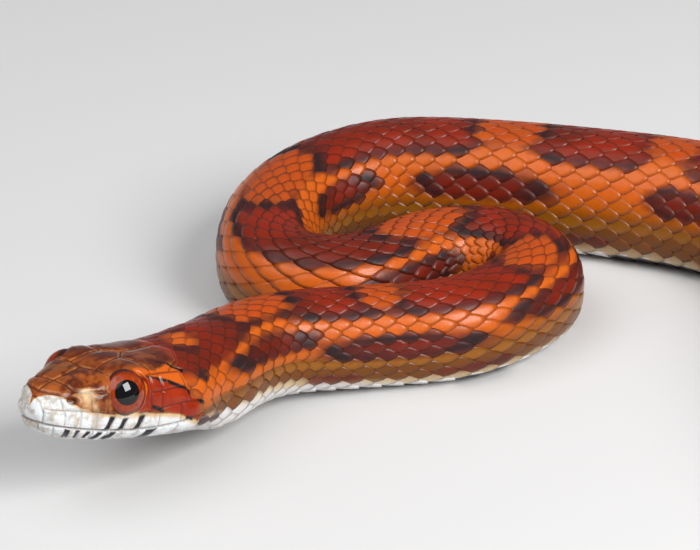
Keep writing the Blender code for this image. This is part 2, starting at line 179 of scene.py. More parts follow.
def closed_tube(name: str, points: Array, around: int, masks: dict[str, Array],
                material: bpy.types.Material) -> bpy.types.Object:
    """Make a closed skin from rings of points, with a fan over each end.

    Args:
        name: Name of the piece.
        points: Points of the rings, ring after ring.
        around: How many points a ring has.
        masks: Named values at the points.
        material: Finish of the piece.

    Returns:
        The new object.
    """
    last = len(points) - around
    ring = np.arange(around)
    after = (ring + 1) % around
    start = np.arange(0, last, around)[:, None]
    quads = np.stack([ring + start, ring + start + around, after + start + around,
                      after + start], axis=-1).reshape(-1, 4)
    nose, tail = np.full(around, len(points)), np.full(around, len(points) + 1)
    triangles = np.concatenate([quads[:, [0, 1, 2]], quads[:, [0, 2, 3]],
                                np.stack([nose, ring, after], axis=1),
                                np.stack([after + last, ring + last, tail], axis=1)])
    hubs = [points[:around].mean(axis=0), points[last:].mean(axis=0)]
    obj = mesh_object(name, np.vstack([points, *hubs]), triangles[:, ::-1])
    store(obj, {key: np.append(mask, mask[[0, last]]) for key, mask in masks.items()})
    obj.data.materials.append(material)
    return obj


def joined_copies(name: str, points: Array, triangles: Array, masks: dict[str, Array],
                  unrolled: Array, material: bpy.types.Material) -> bpy.types.Object:
    """Join laid copies of one template into one piece.

    Args:
        name: Name of the piece.
        points: Points of the copies, copy after copy.
        triangles: Triangles of the template.
        masks: Named values, one row for each copy.
        unrolled: Place of each copy's points on the unrolled skin, for the bake.
        material: Finish of the piece.

    Returns:
        The new object.
    """
    count, corners = unrolled.shape[:2]
    shift = (np.arange(count) * corners)[:, None, None]
    obj = mesh_object(name, points, (triangles[None] + shift).reshape(-1, 3))
    store(obj, {key: mask.ravel() for key, mask in masks.items()})
    layer = obj.data.uv_layers.new(name="OFBake")
    layer.data.foreach_set("uv", unrolled[:, triangles.ravel(), :].astype(np.float32).ravel())
    obj.data.materials.append(material)
    return obj


@dataclass
class HeadForm:
    """The head's own frame and form, its snout a little fuller than in the solids."""

    snout: tuple[float, float, float] = (-28.25, -50.0, 10.5)
    yaw: float = 48.7
    pitch: float = 12.0
    roll: float = 3.8
    # Where the head meets the neck, and the belly's height there in the head frame
    end: float = 21.0
    foot: float = -4.4
    # How steeply the neck leaves the head, and where the rings start to turn towards it
    neck_slope: float = 7.0
    turn_from: float = 16.0
    # Back from the snout, crown, chin, half-width, widest height, roundness above
    # and below, flattening of the chin
    rows: Table = (
        (0.00, 1.05, 0.10, 0.70, 0.55, 2.00, 2.00, 0.00),
        (0.20, 1.60, -0.50, 1.40, 0.50, 2.20, 2.10, 0.00),
        (0.55, 2.02, -1.05, 2.00, 0.40, 2.60, 2.20, 0.00),
        (1.10, 2.36, -1.50, 2.52, 0.30, 2.90, 2.30, 0.00),
        (1.90, 2.64, -1.90, 3.00, 0.15, 3.20, 2.30, 0.00),
        (3.00, 2.90, -2.28, 3.45, 0.00, 3.60, 2.30, 0.00),
        (4.40, 3.18, -2.60, 3.86, -0.20, 4.00, 2.30, 0.00),
        (5.60, 3.44, -2.80, 4.20, -0.30, 4.40, 2.30, 0.00),
        (6.50, 3.68, -2.92, 4.36, -0.35, 4.80, 2.30, 0.00),
        (7.30, 3.92, -3.02, 4.52, -0.40, 5.40, 2.30, 0.00),
        (8.10, 4.06, -3.10, 4.72, -0.42, 6.00, 2.30, 0.00),
        (9.00, 4.11, -3.22, 4.90, -0.45, 5.60, 2.30, 0.00),
        (10.0, 4.11, -3.34, 5.10, -0.50, 4.40, 2.30, 0.00),
        (11.3, 4.09, -3.52, 5.35, -0.55, 3.40, 2.30, 0.00),
        (12.8, 4.06, -3.70, 5.68, -0.60, 2.90, 2.25, 0.00),
        (14.4, 4.08, -3.86, 5.98, -0.62, 2.60, 2.20, 0.00),
        (16.0, 4.20, -4.00, 6.08, -0.62, 2.45, 2.15, 0.00),
        (17.4, 4.40, -4.12, 5.88, -0.55, 2.35, 2.15, 0.03),
        (18.6, 4.66, -4.22, 5.50, -0.42, 2.25, 2.30, 0.10),
        (19.8, 4.94, -4.32, 5.20, -0.25, 2.20, 2.55, 0.20),
        (21.0, 5.20, -4.40, 5.00, -0.10, 2.15, 2.80, 0.30),
    )

    def axes(self) -> tuple[Array, Array, Array]:
        """Return the forward, left and up directions of the head."""
        yaw, pitch, roll = (math.radians(v) for v in (self.yaw, self.pitch, self.roll))
        forward = np.array([-math.cos(yaw), -math.sin(yaw), 0.0])
        left = np.array([math.sin(yaw), -math.cos(yaw), 0.0])
        up = np.array([0.0, 0.0, 1.0])
        forward, up = (forward * math.cos(pitch) + up * math.sin(pitch),
                       up * math.cos(pitch) - forward * math.sin(pitch))
        left, up = (left * math.cos(roll) + up * math.sin(roll),
                    up * math.cos(roll) - left * math.sin(roll))
        return forward, left, up

    def to_room(self, points: Array) -> Array:
        """Place points of the head frame (back, left, up) in the room."""
        forward, left, up = self.axes()
        return (np.array(self.snout) - points[..., :1] * forward
                + points[..., 1:2] * left + points[..., 2:3] * up)

    def to_head(self, points: Array) -> Array:
        """Read points of the room in the head frame."""
        forward, left, up = self.axes()
        away = points - np.array(self.snout)
        return np.stack([-(away @ forward), away @ left, away @ up], axis=-1)

    def lean(self) -> float:
        """Return how much the end of the head leans against its own axis."""
        return math.tan(math.radians(self.pitch - self.neck_slope))

    def foot_point(self, ahead: float = 0.0) -> Array:
        """Return the belly point of the head's end, or one further back."""
        spot = np.array([self.end + ahead - self.foot * self.lean(), 0.0, self.foot])
        return self.to_room(spot)

    def sections(self, back: Array, turns: Array) -> Array:
        """Return rings of the head form.

        Args:
            back: Distances from the snout.
            turns: Angles round each ring, zero at the crown.

        Returns:
            Points in the room, ring by ring.
        """
        table = np.array(self.rows)
        values = smooth_rows(table[:, 0], table[:, 1:], back)
        crown, chin, wide, waist, top, low, sink = (values[:, i:i + 1] for i in range(7))
        y, z = ring_shape(turns, crown, chin, wide, waist, top, low, sink)
        turned = np.clip((back - self.turn_from) / (self.end - self.turn_from), 0.0, None)
        x = back[:, None] - turned[:, None] * z * self.lean()
        return self.to_room(np.stack([x, y, z], axis=-1))


def ring_shape(turns: Array, crown: Array, chin: Array, wide: Array, waist: Array,
               top: Array, low: Array, sink: Array) -> tuple[Array, Array]:
    """Return the left and up coordinates of superellipse rings with a flattened foot."""
    side, up = np.sin(turns)[None, :], np.cos(turns)[None, :]
    power = np.where(up > 0, top, low)
    y = np.sign(side) * np.abs(side) ** (2 / power) * wide
    reach = np.where(up > 0, crown - waist, waist - chin + sink)
    z = waist + np.sign(up) * np.abs(up) ** (2 / power) * reach
    return y, np.maximum(z, chin)


@dataclass
class SnakeForm:
    """The surface of the whole animal, read by its two coordinates."""

    head: HeadForm = field(default_factory=HeadForm)
    # Middle of the whole snake on the floor, which becomes the origin
    home: tuple[float, float] = (99.953, -11.658)
    # Length over which the roll of the head dies out
    neck_ease: float = 22.0
    # Body section for a half-width of one: crown, belly, half-width, widest height,
    # roundness above and below, flattening of the belly
    section: tuple[float, ...] = (1.92, 0.0, 1.0, 0.86, 2.15, 2.8, 0.06)
    # Share of a half ring from the back to the edge of the belly plates, and its
    # length for a half-width of one
    belly_edge: float = 0.72
    arc_share: float = 2.3
    # Length over which the tail runs to a point, and over which the end of the head
    # is fitted to the body
    tip_long: float = 9.0
    join_long: float = 6.0
    # Steps along the route, points round a ring, rings of the head, and the distance
    # between rings of the body
    route_steps: int = 6000
    around: int = 381
    head_rings: int = 240
    ring_step: float = 0.5
    girths: Table = (
        (0, 5.0), (10, 4.85), (30, 4.85), (52, 5.05), (75, 5.15), (88, 5.45), (98, 5.9),
        (108, 6.35), (140, 6.6), (190, 7.2), (260, 7.7), (400, 7.7), (500, 7.0),
        (570, 6.0), (615, 5.0), (628, 4.5), (680, 2.9), (720, 1.5), (740, 0.7),
    )
    # Middle line of the body on the floor, before the home point becomes the origin
    route: Table = (
        (-12.2, -31.2), (-10.0, -27.9), (-7.2, -25.5), (-4.0, -24.1), (-0.9, -23.3),
        (2.0, -22.6), (5.4, -21.9), (9.0, -21.1), (12.0, -19.7), (14.7, -17.5), (17.1, -14.7),
        (18.6, -11.8), (18.3, -8.4), (16.2, -5.9), (13.1, -4.9), (9.9, -5.2), (6.9, -6.9),
        (4.0, -9.4), (1.0, -11.5), (-2.2, -12.2), (-5.2, -11.3), (-7.6, -8.8), (-8.5, -5.3),
        (-8.5, -1.8), (-7.8, 1.9), (-6.3, 5.3), (-3.9, 8.3), (-0.8, 10.6), (3.0, 12.0),
        (8.0, 12.2), (15.0, 11.1), (21.5, 9.6), (28.0, 7.8), (34.5, 5.6), (42.0, 1.0),
        (48.0, -7.5), (51.3, -20.0), (52.2, -35.0), (53.6, -49.5), (57.6, -60.0), (67.0, -64.0),
        (76.0, -60.5), (80.0, -51.0), (80.5, -32.0), (79.4, -12.0), (79.8, 9.0), (81.6, 26.0),
        (85.8, 36.4), (95.0, 40.4), (104.0, 36.6), (107.8, 27.0), (107.8, 8.0), (106.4, -12.0),
        (107.0, -31.0), (110.8, -41.4), (120.0, -45.4), (129.2, -41.6), (133.0, -32.0),
        (133.6, -14.0), (132.8, 3.0), (134.0, 18.0), (137.8, 27.6), (146.6, 31.5),
        (155.4, 27.8), (159.2, 19.0), (160.0, 4.0), (159.2, -9.0), (160.2, -20.5),
        (163.6, -29.0), (171.6, -32.4), (179.6, -29.0), (183.0, -20.8), (183.8, -9.0),
        (183.2, 0.0), (184.0, 8.6), (187.0, 15.6), (193.6, 18.6), (200.2, 15.6), (203.0, 8.8),
        (204.0, -1.0), (205.6, -10.0), (209.0, -17.0), (215.0, -21.5), (222.0, -22.5),
        (229.0, -20.0),
    )

    def __post_init__(self) -> None:
        """Lay the route and survey the surface once."""
        self._lay_route()
        self._survey()
        self._join_neck()
        self._find_normals()

    def _lay_route(self) -> None:
        """Sample the natural cubic through the route's points by distance."""
        starts = [tuple(self.head.foot_point(ahead)[:2]) for ahead in (0.0, 1.6)]
        pts = np.array(starts + list(self.route))
        knots = np.concatenate([[0.0], np.cumsum(np.linalg.norm(np.diff(pts, axis=0), axis=1))])
        step = np.diff(knots)
        count = len(knots)
        system = np.eye(count)
        right = np.zeros_like(pts)
        for i in range(1, count - 1):
            system[i, i - 1:i + 2] = step[i - 1], 2 * (step[i - 1] + step[i]), step[i]
            right[i] = 6 * ((pts[i + 1] - pts[i]) / step[i] - (pts[i] - pts[i - 1]) / step[i - 1])
        bend = np.linalg.solve(system, right)
        fine = np.linspace(0.0, knots[-1], self.route_steps)
        i = np.clip(np.searchsorted(knots, fine) - 1, 0, count - 2)
        h, a, b = step[i][:, None], (knots[i + 1] - fine)[:, None], (fine - knots[i])[:, None]
        self._line = (bend[i] * a**3 / (6 * h) + bend[i + 1] * b**3 / (6 * h)
                      + (pts[i] / h - bend[i] * h / 6) * a
                      + (pts[i + 1] / h - bend[i + 1] * h / 6) * b)
        leaps = np.diff(self._line, axis=0)
        self._dist = np.concatenate([[0.0], np.cumsum(np.linalg.norm(leaps, axis=1))])
        turn = np.unwrap(np.arctan2(leaps[:, 1], leaps[:, 0]))
        self._turn = np.append(turn, turn[-1])
        self.length = float(self._dist[-1])

    def girth(self, along: Array) -> Array:
        """Return the half-width of the body."""
        along = np.atleast_1d(along)
        table = np.array(self.girths, float)
        rows = smooth_rows(table[:, 0], table[:, 1:], along)[:, 0]
        to_tip = (self.length + 0.2 - along) / self.tip_long
        return rows * np.clip(to_tip, 0.02, 1.0) ** 0.62

    def half_arc(self, along: Array) -> Array:
        """Return the length over the skin from the back to the edge of the belly plates."""
        return self.arc_share * self.girth(np.clip(along, -8.0, None))

    def lift(self, along: Array) -> Array:
        """Return the height of the belly over the floor."""
        height = self.head.foot_point()[2]
        landing = 2.0 * height / math.tan(math.radians(self.head.neck_slope))
        return height * np.clip(1.0 - along / landing, 0.0, None) ** 2

    def _body_rings(self, along: Array, turns: Array) -> Array:
        """Return rings of the body section along the route."""
        columns = (np.full((1, 1), v) for v in self.section)
        unit_y, unit_z = ring_shape(turns, *columns)
        girth = self.girth(along)[:, None, None]
        centre = np.stack([np.interp(along, self._dist, self._line[:, 0]),
                           np.interp(along, self._dist, self._line[:, 1]),
                           self.lift(along)], axis=-1)
        way = np.interp(along, self._dist, self._turn)
        slope = (self.lift(along + 0.5) - self.lift(along - 0.5))
        tangent = np.stack([np.cos(way), np.sin(way), slope], axis=-1)
        tangent /= np.linalg.norm(tangent, axis=1)[:, None]
        left = np.cross(np.array([0.0, 0.0, 1.0]), -tangent)
        left /= np.linalg.norm(left, axis=1)[:, None]
        up = np.cross(-tangent, left)
        roll = (math.radians(self.head.roll)
                * np.clip(1.0 - along / self.neck_ease, 0.0, None))[:, None]
        left, up = (left * np.cos(roll) + up * np.sin(roll),
                    up * np.cos(roll) - left * np.sin(roll))
        return (centre[:, None, :] + girth * unit_y[..., None] * left[:, None, :]
                + girth * unit_z[..., None] * up[:, None, :])

    def _head_backs(self) -> Array:
        """Return the distances of the head's rings, closer where its outline curves."""
        table = np.array(self.head.rows)
        back = np.linspace(0.0, self.head.end, 2000)
        values = smooth_rows(table[:, 0], table[:, 1:], back)
        run = np.hypot(np.gradient(back), np.gradient(values[:, 2]))
        run += np.hypot(np.gradient(back), np.gradient(values[:, 0]))
        total = np.concatenate([[0.0], np.cumsum(run[1:])])
        return np.interp(np.linspace(0.0, total[-1], self.head_rings + 1), total, back)[:-1]

    def _survey(self) -> None:
        """Measure the surface on a grid, even round each ring."""
        backs = self._head_backs()
        body = np.arange(0.0, self.length, self.ring_step)
        self.along = np.concatenate([backs - self.head.end, body])
        crown = 360
        turns = np.linspace(-math.pi, math.pi, 2 * crown + 1)
        rings = np.concatenate([self.head.sections(backs, turns), self._body_rings(body, turns)])
        rings[..., :2] -= np.array(self.home)
        sizes = np.linalg.norm(np.diff(rings, axis=1), axis=2)
        arc = np.concatenate([np.zeros((len(rings), 1)), np.cumsum(sizes, axis=1)], axis=1)
        share = np.linspace(-1.0, 1.0, self.around)
        self.points = np.empty((len(rings), self.around, 3))
        for i, ring in enumerate(rings):
            half = arc[i, crown]
            rest = arc[i, -1] - half
            at = half + np.where(share < 0, share * half, share * rest)
            for k in range(3):
                self.points[i, :, k] = np.interp(at, arc[i], ring[:, k])

    def _join_neck(self) -> None:
        """Spread the step between the head's last ring and the body's first one."""
        last = self.head_rings - 1
        gap = self.points[last + 1] - 2 * self.points[last] + self.points[last - 1]
        fade = rise(-self.join_long, 0.0, self.along[:last + 1])
        self.points[:last + 1] += fade[:, None, None] * gap

    def _find_normals(self) -> None:
        """Work out the outward normals and how far the skin is stretched lengthwise."""
        run_along = np.gradient(self.points, axis=0)
        wrapped = np.concatenate([self.points[:, -2:-1], self.points, self.points[:, 1:2]],
                                 axis=1)
        run_around = (wrapped[:, 2:] - wrapped[:, :-2]) / 2
        normal = np.cross(run_around, run_along)
        size = np.linalg.norm(normal, axis=2, keepdims=True)
        self.normals = normal / np.maximum(size, 1e-12)
        centre = self.points.mean(axis=1, keepdims=True)
        outward = np.sign(((self.points - centre) * self.normals).sum(axis=(1, 2)))
        self.normals *= outward[:, None, None]
        speed = np.gradient(self.along)[:, None]
        self.stretch = np.linalg.norm(run_along, axis=2) / np.maximum(speed, 1e-6)

    def _corners(self, along: Array, side: Array) -> tuple[Array, Array, Array, Array]:
        """Return the grid cell and the shares inside it for each spot."""
        i = np.clip(np.searchsorted(self.along, along) - 1, 0, len(self.along) - 2)
        a = np.clip((along - self.along[i]) / (self.along[i + 1] - self.along[i]), 0.0, 1.0)
        place = (np.clip(side * self.belly_edge, -1.0, 1.0) + 1.0) * (self.around - 1) / 2
        j = np.clip(place.astype(int), 0, self.around - 2)
        return i, j, a, place - j

    def read(self, grid: Array, along: Array, side: Array) -> Array:
        """Read a surveyed grid between its points."""
        i, j, a, b = self._corners(along, side)
        if grid.ndim == 3:
            a, b = a[..., None], b[..., None]
        return ((grid[i, j] * (1 - b) + grid[i, j + 1] * b) * (1 - a)
                + (grid[i + 1, j] * (1 - b) + grid[i + 1, j + 1] * b) * a)

    def lay(self, along: Array, side: Array, height: Array) -> Array:
        """Return points on the surface, or over it by a height."""
        return (self.read(self.points, along, side)
                + self.read(self.normals, along, side) * height[..., None])

    def to_head(self, points: Array) -> Array:
        """Read finished points in the head frame."""
        shift = np.array([self.home[0], self.home[1], 0.0])
        return self.head.to_head(points + shift)


def oval_distance(u: Array, v: Array, power: float) -> Array:
    """Return the distance from the middle of a squarish oval whose edge is at one."""
    return (np.abs(u) ** power + np.abs(v) ** power) ** (1 / power)


@dataclass
class Markings:
    """Where the saddles, side blotches and black strokes lie, as functions of place."""

    seed: int = 11
    # Front and back of each saddle of the back, as the photo shows them
    seen: Table = (
        (-14.0, 4.3), (12.6, 20.3), (24.6, 37.4), (44.0, 54.4), (64.6, 82.6), (94.2, 114.4),
        (121.6, 133.4), (138.6, 153.0),
    )
    # Distance that the row of saddles has to pass
    until: float = 735.0
    # How far down the side the saddles and the ovals between them reach, and how wide
    # the black border of a saddle is
    reach: float = 0.34
    oval_reach: float = 0.235
    border: float = 1.0
    # How far a saddle draws in beside each of the first ovals
    seen_pinch: tuple[float, ...] = (0.12, 0.12, 0.15, 0.18, 0.35)
    # Side blotches seen on the left and on the right: place, half-length, height; and
    # the half-height of them all
    seen_left: Table = (
        (7.5, 7.6, 0.50), (23.5, 8.6, 0.61), (40.0, 6.6, 0.50), (58.0, 6.4, 0.52),
        (94.0, 7.4, 0.50), (115.5, 8.6, 0.54), (138.5, 4.6, 0.52),
    )
    seen_right: Table = (
        (7.5, 7.6, 0.52), (23.0, 8.0, 0.60), (40.5, 6.6, 0.52), (62.0, 6.6, 0.52),
    )
    blotch_half: float = 0.108
    # Orange patch on the nape: distance, side and their half-sizes
    nape: tuple[float, float, float, float] = (-3.1, 0.05, 1.5, 0.16)
    # Small spots over the belly's edge: side, half-length, half-height
    spots: tuple[float, float, float] = (0.875, 3.4, 0.055)
    # Black lines beside the eye stripe: from, to, the sides there and half the width
    strokes: Table = (
        (-9.0, -8.1, 0.30, 0.325, 0.010), (-8.05, -7.0, 0.33, 0.39, 0.014),
        (-7.0, -6.0, 0.385, 0.43, 0.030), (-6.0, -3.8, 0.43, 0.50, 0.050),
        (-11.6, -10.4, 0.445, 0.465, 0.009), (-10.4, -9.2, 0.465, 0.485, 0.014),
        (-9.1, -7.0, 0.49, 0.56, 0.016), (-6.9, -5.4, 0.575, 0.665, 0.019),
        (-10.9, -9.7, 0.70, 0.725, 0.018), (-5.6, -4.9, 0.67, 0.69, 0.016),
        (-7.2, -6.3, 0.785, 0.80, 0.018),
    )
    # Sides where the low flank and the white of the belly start, by distance
    amber_edge: Table = ((-8, 0.74), (0, 0.68), (10, 0.64), (25, 0.62))
    white_edge: Table = ((-8, 0.80), (-3, 0.82), (0, 0.86), (10, 0.90), (25, 0.98), (40, 1.0))

    def __post_init__(self) -> None:
        """Continue the row of saddles to the tail with the species' spacing."""
        chance = np.random.default_rng(self.seed)
        saddles = list(self.seen)
        while saddles[-1][1] < self.until:
            end = saddles[-1][1]
            size = np.interp(end, [150, 400, 615, 740], [19.5, 18.0, 13.0, 6.5])
            gap = size * chance.uniform(0.30, 0.40)
            saddles.append((end + gap, end + gap + size * chance.uniform(0.58, 0.74)))
        front, back = np.array(saddles).T
        self.middle = (front + back) / 2
        self.oval = (back[:-1] + front[1:]) / 2
        self.oval_half = (front[1:] - back[:-1]) / 2
        count = len(self.oval)
        half = np.maximum(5.6, self.oval_half * 1.7) * chance.uniform(0.9, 1.15, (2, count))
        half = np.minimum(half, np.interp(self.oval, [150, 600, 740], [9.0, 7.0, 3.0]))
        place = self.oval + chance.uniform(-1.2, 1.2, (2, count))
        high = 0.55 + chance.uniform(-0.04, 0.05, (2, count))
        self.blotch = np.stack([place, half, high], axis=-1)
        self.blotch[0, :len(self.seen_left)] = self.seen_left
        self.blotch[1, :len(self.seen_right)] = self.seen_right
        drawn = chance.uniform(0.3, 0.65, count - len(self.seen_pinch))
        self.pinch = np.append(self.seen_pinch, drawn)

    def strokes_at(self, along: Array, across: Array) -> Array:
        """Return how black the lines beside the eye stripe make each place."""
        black = np.zeros(np.shape(along))
        for start, end, high, low, thick in self.strokes:
            level = np.interp(along, [start, end], [high, low])
            line = rise(thick + 0.006, thick - 0.006, np.abs(across - level))
            line *= rise(start - 0.12, start + 0.05, along) * rise(end + 0.12, end - 0.05, along)
            black = np.maximum(black, line)
        return black

    def _blotches(self, k: Array, along: Array, side: Array, arc: Array) -> tuple[Array, Array]:
        """Return where the side blotches are and how black they are."""
        hand = (side < 0).astype(int)
        flank, black = np.zeros(np.shape(along)), np.zeros(np.shape(along))
        for step in (-1, 0, 1):
            near = np.clip(k + step, 0, len(self.oval) - 1)
            place, half, high = np.moveaxis(self.blotch[hand, near], -1, 0)
            far = oval_distance((along - place) / half,
                                (np.abs(side) - high) / self.blotch_half, 2.2)
            inward = (1.0 - far) * np.minimum(half, self.blotch_half * arc)
            inside = rise(-0.2, 0.2, inward)
            flank = np.maximum(flank, inside)
            black = np.maximum(black, inside * (1.0 - 0.78 * rise(0.15, 0.85, inward)))
        return flank, black

    def _place(self, along: Array, across: Array) -> Array:
        """Return how far down the flank's colours each place lies."""
        amber, white = (np.interp(along, *np.array(edge).T)
                        for edge in (self.amber_edge, self.white_edge))
        return np.where(across < amber, across / amber * 0.62,
                        0.62 + (across - amber) / (white - amber) * 0.38)

    def read(self, form: SnakeForm, along: Array, side: Array) -> dict[str, Array]:
        """Return the marking masks at places on the skin.

        Args:
            form: The animal's surface, for the size of its girth.
            along: Distances behind the head.
            side: Places across the skin.

        Returns:
            The masks dark, black, oval and side.
        """
        arc = form.half_arc(along)
        k = np.clip(np.searchsorted(self.middle, along) - 1, 0, len(self.oval) - 1)
        off = (along - self.oval[k]) / self.oval_half[k]
        across = np.abs(side)
        ring = oval_distance(off, across / self.oval_reach, 2.8)
        from_oval = (ring - 1.0) * np.minimum(self.oval_half[k], self.oval_reach * arc)
        on_nape = np.interp(along, [-3, 0, 4, 14], [0.48, 0.42, 0.31, 0.33])
        reach = np.where(k == 0, on_nape, self.reach)
        reach = reach * (1.0 - self.pinch[k] * np.exp(-(off**2) * 1.1))
        depth = np.minimum(from_oval, (reach - across) * arc)
        dark = rise(-0.25, 0.25, depth)
        corner = np.exp(-((np.abs(off) - 1.15) / 0.55) ** 2)
        line = dark * (1.0 - rise(self.border * 0.40, self.border * 1.25, depth))
        black = line * np.clip(0.68 + 0.5 * corner, 0.0, 1.0) * rise(-1.0, 4.0, along)
        flank, flank_black = self._blotches(k, along, side, arc)
        dark, black = np.maximum(dark, flank), np.maximum(black, flank_black)

        place, middle, long, wide = self.nape
        patch = oval_distance((along - place) / long, (side - middle) / wide, 2.0)
        clear = rise(0.7, 1.0, patch)
        edge = np.exp(-((patch - 1.15) / 0.2) ** 2) * 0.8
        dark, black = dark * clear, np.maximum(black * clear, edge)

        low, long, high = self.spots
        off = np.minimum(np.abs(along - self.middle[k]), np.abs(along - self.middle[k + 1]))
        small = 1.0 - rise(0.6, 1.2, (off / long) ** 2 + ((across - low) / high) ** 2)
        dark = np.maximum(dark, small * 0.75)
        black = np.maximum(black, small * (0.45 + 0.40 * rise(6.0, 0.0, along)))
        black = np.maximum(black, self.strokes_at(along, across))
        return {"dark": dark, "black": black, "oval": 1.0 - rise(0.85, 1.05, ring),
                "side": self._place(along, across)}


@dataclass
class HeadPlates:
    """Outlines of the head's plates and the line of the mouth, close to the solids."""

    # Heights of the line of the mouth, of the upper lip's top and of the ridge over the cheek
    mouth: Table = (
        (-1.0, -0.35), (0.6, -0.40), (2.0, -0.65), (5.0, -1.15), (8.0, -1.50), (11.0, -1.58),
        (14.0, -1.30), (16.2, -0.85), (17.0, -0.60),
    )
    lip_top: Table = (
        (0.5, 1.00), (2.5, 0.85), (4.0, 0.60), (6.0, 0.20), (8.0, -0.05), (10.0, 0.00),
        (12.0, 0.35), (14.0, 0.50), (16.2, 0.20),
    )
    canthus: Table = (
        (0.0, 1.8), (1.5, 1.95), (2.6, 2.42), (3.8, 2.35), (5.3, 2.3), (6.3, 3.1), (9.9, 3.3),
        (11.0, 3.2), (13.8, 3.0), (15.6, 3.0),
    )
    # Joints along the lips, as distances back that go below zero round the front
    lip_joints: tuple[float, ...] = (-1.35, 1.15, 2.85, 4.4, 5.9, 7.4, 9.1, 11.0, 13.3, 15.8)
    chin_joints: tuple[float, ...] = (-1.85, -0.1, 1.35, 2.85, 4.3, 5.8, 7.4, 9.1, 11.0, 13.2,
                                      15.6)
    # Plate at the tip of the snout, seen from the front
    rostral: Table = (
        (-1.25, -0.3), (-1.4, 0.5), (-0.9, 1.45), (0.0, 1.8), (0.9, 1.45), (1.4, 0.5), (1.25, -0.3),
    )
    # Left half of the crown seen from above, with outer corners past the side of the head
    crown: tuple[Table, ...] = (
        ((0.75, 0.0), (0.95, 1.1), (1.4, 2.0), (1.45, 7.0), (2.5, 7.0), (2.5, 1.9), (2.55, 0.0)),
        ((2.55, 0.0), (2.5, 1.9), (2.5, 7.0), (6.25, 7.0), (6.2, 2.9), (6.1, 1.6), (5.8, 0.0)),
        ((6.1, 1.6), (6.2, 2.9), (6.25, 7.0), (10.3, 7.0), (10.2, 3.9), (9.5, 1.3), (7.7, 1.4)),
        ((9.5, 1.3), (10.2, 3.9), (10.3, 7.0), (12.5, 7.0), (12.8, 4.3), (14.6, 3.5), (15.6, 1.9),
         (15.3, 0.4), (14.6, 0.0), (10.9, 0.0)),
    )
    frontal: Table = (
        (5.8, 0.0), (6.1, 1.6), (7.7, 1.4), (9.5, 1.3), (10.9, 0.0), (9.5, -1.3), (7.7, -1.4),
        (6.1, -1.6),
    )
    # Cheek seen from the side
    cheek: tuple[Table, ...] = (
        ((1.30, 0.97), (1.3, 4.0), (3.8, 4.0), (3.85, 0.62), (2.5, 0.85)),
        ((3.85, 0.62), (3.8, 4.0), (5.3, 4.0), (5.4, 0.32)),
        ((5.4, 0.32), (5.3, 4.0), (6.5, 4.0), (6.1, 0.18)),
        ((10.05, 0.0), (9.9, 1.8), (11.2, 1.8), (11.2, 0.2)),
        ((9.9, 1.8), (9.9, 4.5), (11.0, 4.5), (11.2, 1.8)),
        ((11.2, 0.2), (11.2, 1.8), (13.9, 1.9), (14.3, 0.48), (12.0, 0.35)),
        ((11.2, 1.8), (11.0, 4.5), (13.7, 4.5), (13.9, 1.9)),
    )
    # Right half of the chin seen from below
    chin: tuple[Table, ...] = (
        ((1.7, 0.0), (1.9, 1.0), (3.0, 1.9), (5.0, 2.1), (6.6, 1.6), (6.8, 0.0)),
        ((6.8, 0.0), (6.6, 1.6), (7.2, 2.3), (9.4, 2.0), (10.6, 0.7), (10.6, 0.0)),
    )
    # Gap under the line of the mouth, and the depths below it at which the lower lip
    # ends and the plates of the chin start
    lip_gap: float = 0.09
    lip_deep: float = 1.40
    chin_from: float = 1.45
    # Half-width at which the lip turns round the snout, and how strongly it turns
    snout_half: float = 3.1
    snout_turn: float = 0.9
    # Nearest to the middle of the head that a cheek plate comes
    cheek_from: float = 0.9
    # How far back the plates at the tip of the snout and of the chin reach
    rostral_long: float = 1.25
    mental_long: float = 1.6

    def along_lip(self, x: Array, y: Array) -> Array:
        """Return how far along the lip a point lies, below zero round the front."""
        return x + self.snout_turn * np.minimum(np.abs(y) - self.snout_half, 0.0)

    @staticmethod
    def inside(outline: Table, u: Array, v: Array) -> Array:
        """Return the distance from each point to an outline, positive inside it."""
        nearest = np.full(u.shape, np.inf)
        within = np.zeros(u.shape, bool)
        for (ax, ay), (bx, by) in zip(outline, outline[1:] + outline[:1]):
            dx, dy = bx - ax, by - ay
            t = np.clip(((u - ax) * dx + (v - ay) * dy) / (dx * dx + dy * dy), 0.0, 1.0)
            nearest = np.minimum(nearest, np.hypot(u - ax - t * dx, v - ay - t * dy))
            if dy:
                within ^= ((ay > v) != (by > v)) & (u < dx * (v - ay) / dy + ax)
        return np.where(within, nearest, -nearest)

    def depth(self, spots: Array) -> Array:
        """Return how far each point of the head lies inside its plate.

        Args:
            spots: Points in the head frame.

        Returns:
            Distance from the plate's edge, negative where there is no plate.
        """
        x, y, z = spots.T
        across = np.abs(y)
        above = z - level(self.canthus, x)
        mouth, lip = level(self.mouth, x), level(self.lip_top, x)
        found = [np.minimum(self.inside(outline, x, across), above) for outline in self.crown]
        found.append(np.minimum(self.inside(self.frontal, x, y), above))
        beside = np.minimum(np.minimum(across - self.cheek_from, -above), z - lip)
        found += [np.minimum(self.inside(outline, x, z), beside) for outline in self.cheek]
        found.append(np.minimum(self.inside(self.rostral, y, z), self.rostral_long - x))
        lips = self.along_lip(x, y)
        low_lip = mouth - self.lip_gap
        for joints, top, low in ((self.lip_joints, lip, mouth),
                                 (self.chin_joints, low_lip, mouth - self.lip_deep)):
            band = np.minimum(top - z, z - low)
            found += [np.minimum(np.minimum(lips - a, b - lips), band)
                      for a, b in zip(joints, joints[1:])]
        under = np.minimum(mouth - self.chin_from - z, across)
        found += [np.minimum(self.inside(outline, x, across), under) for outline in self.chin]
        mental = np.minimum(self.chin_joints[0] - lips, low_lip - z)
        found.append(np.minimum(mental, self.mental_long - x))
        return np.max(found, axis=0)


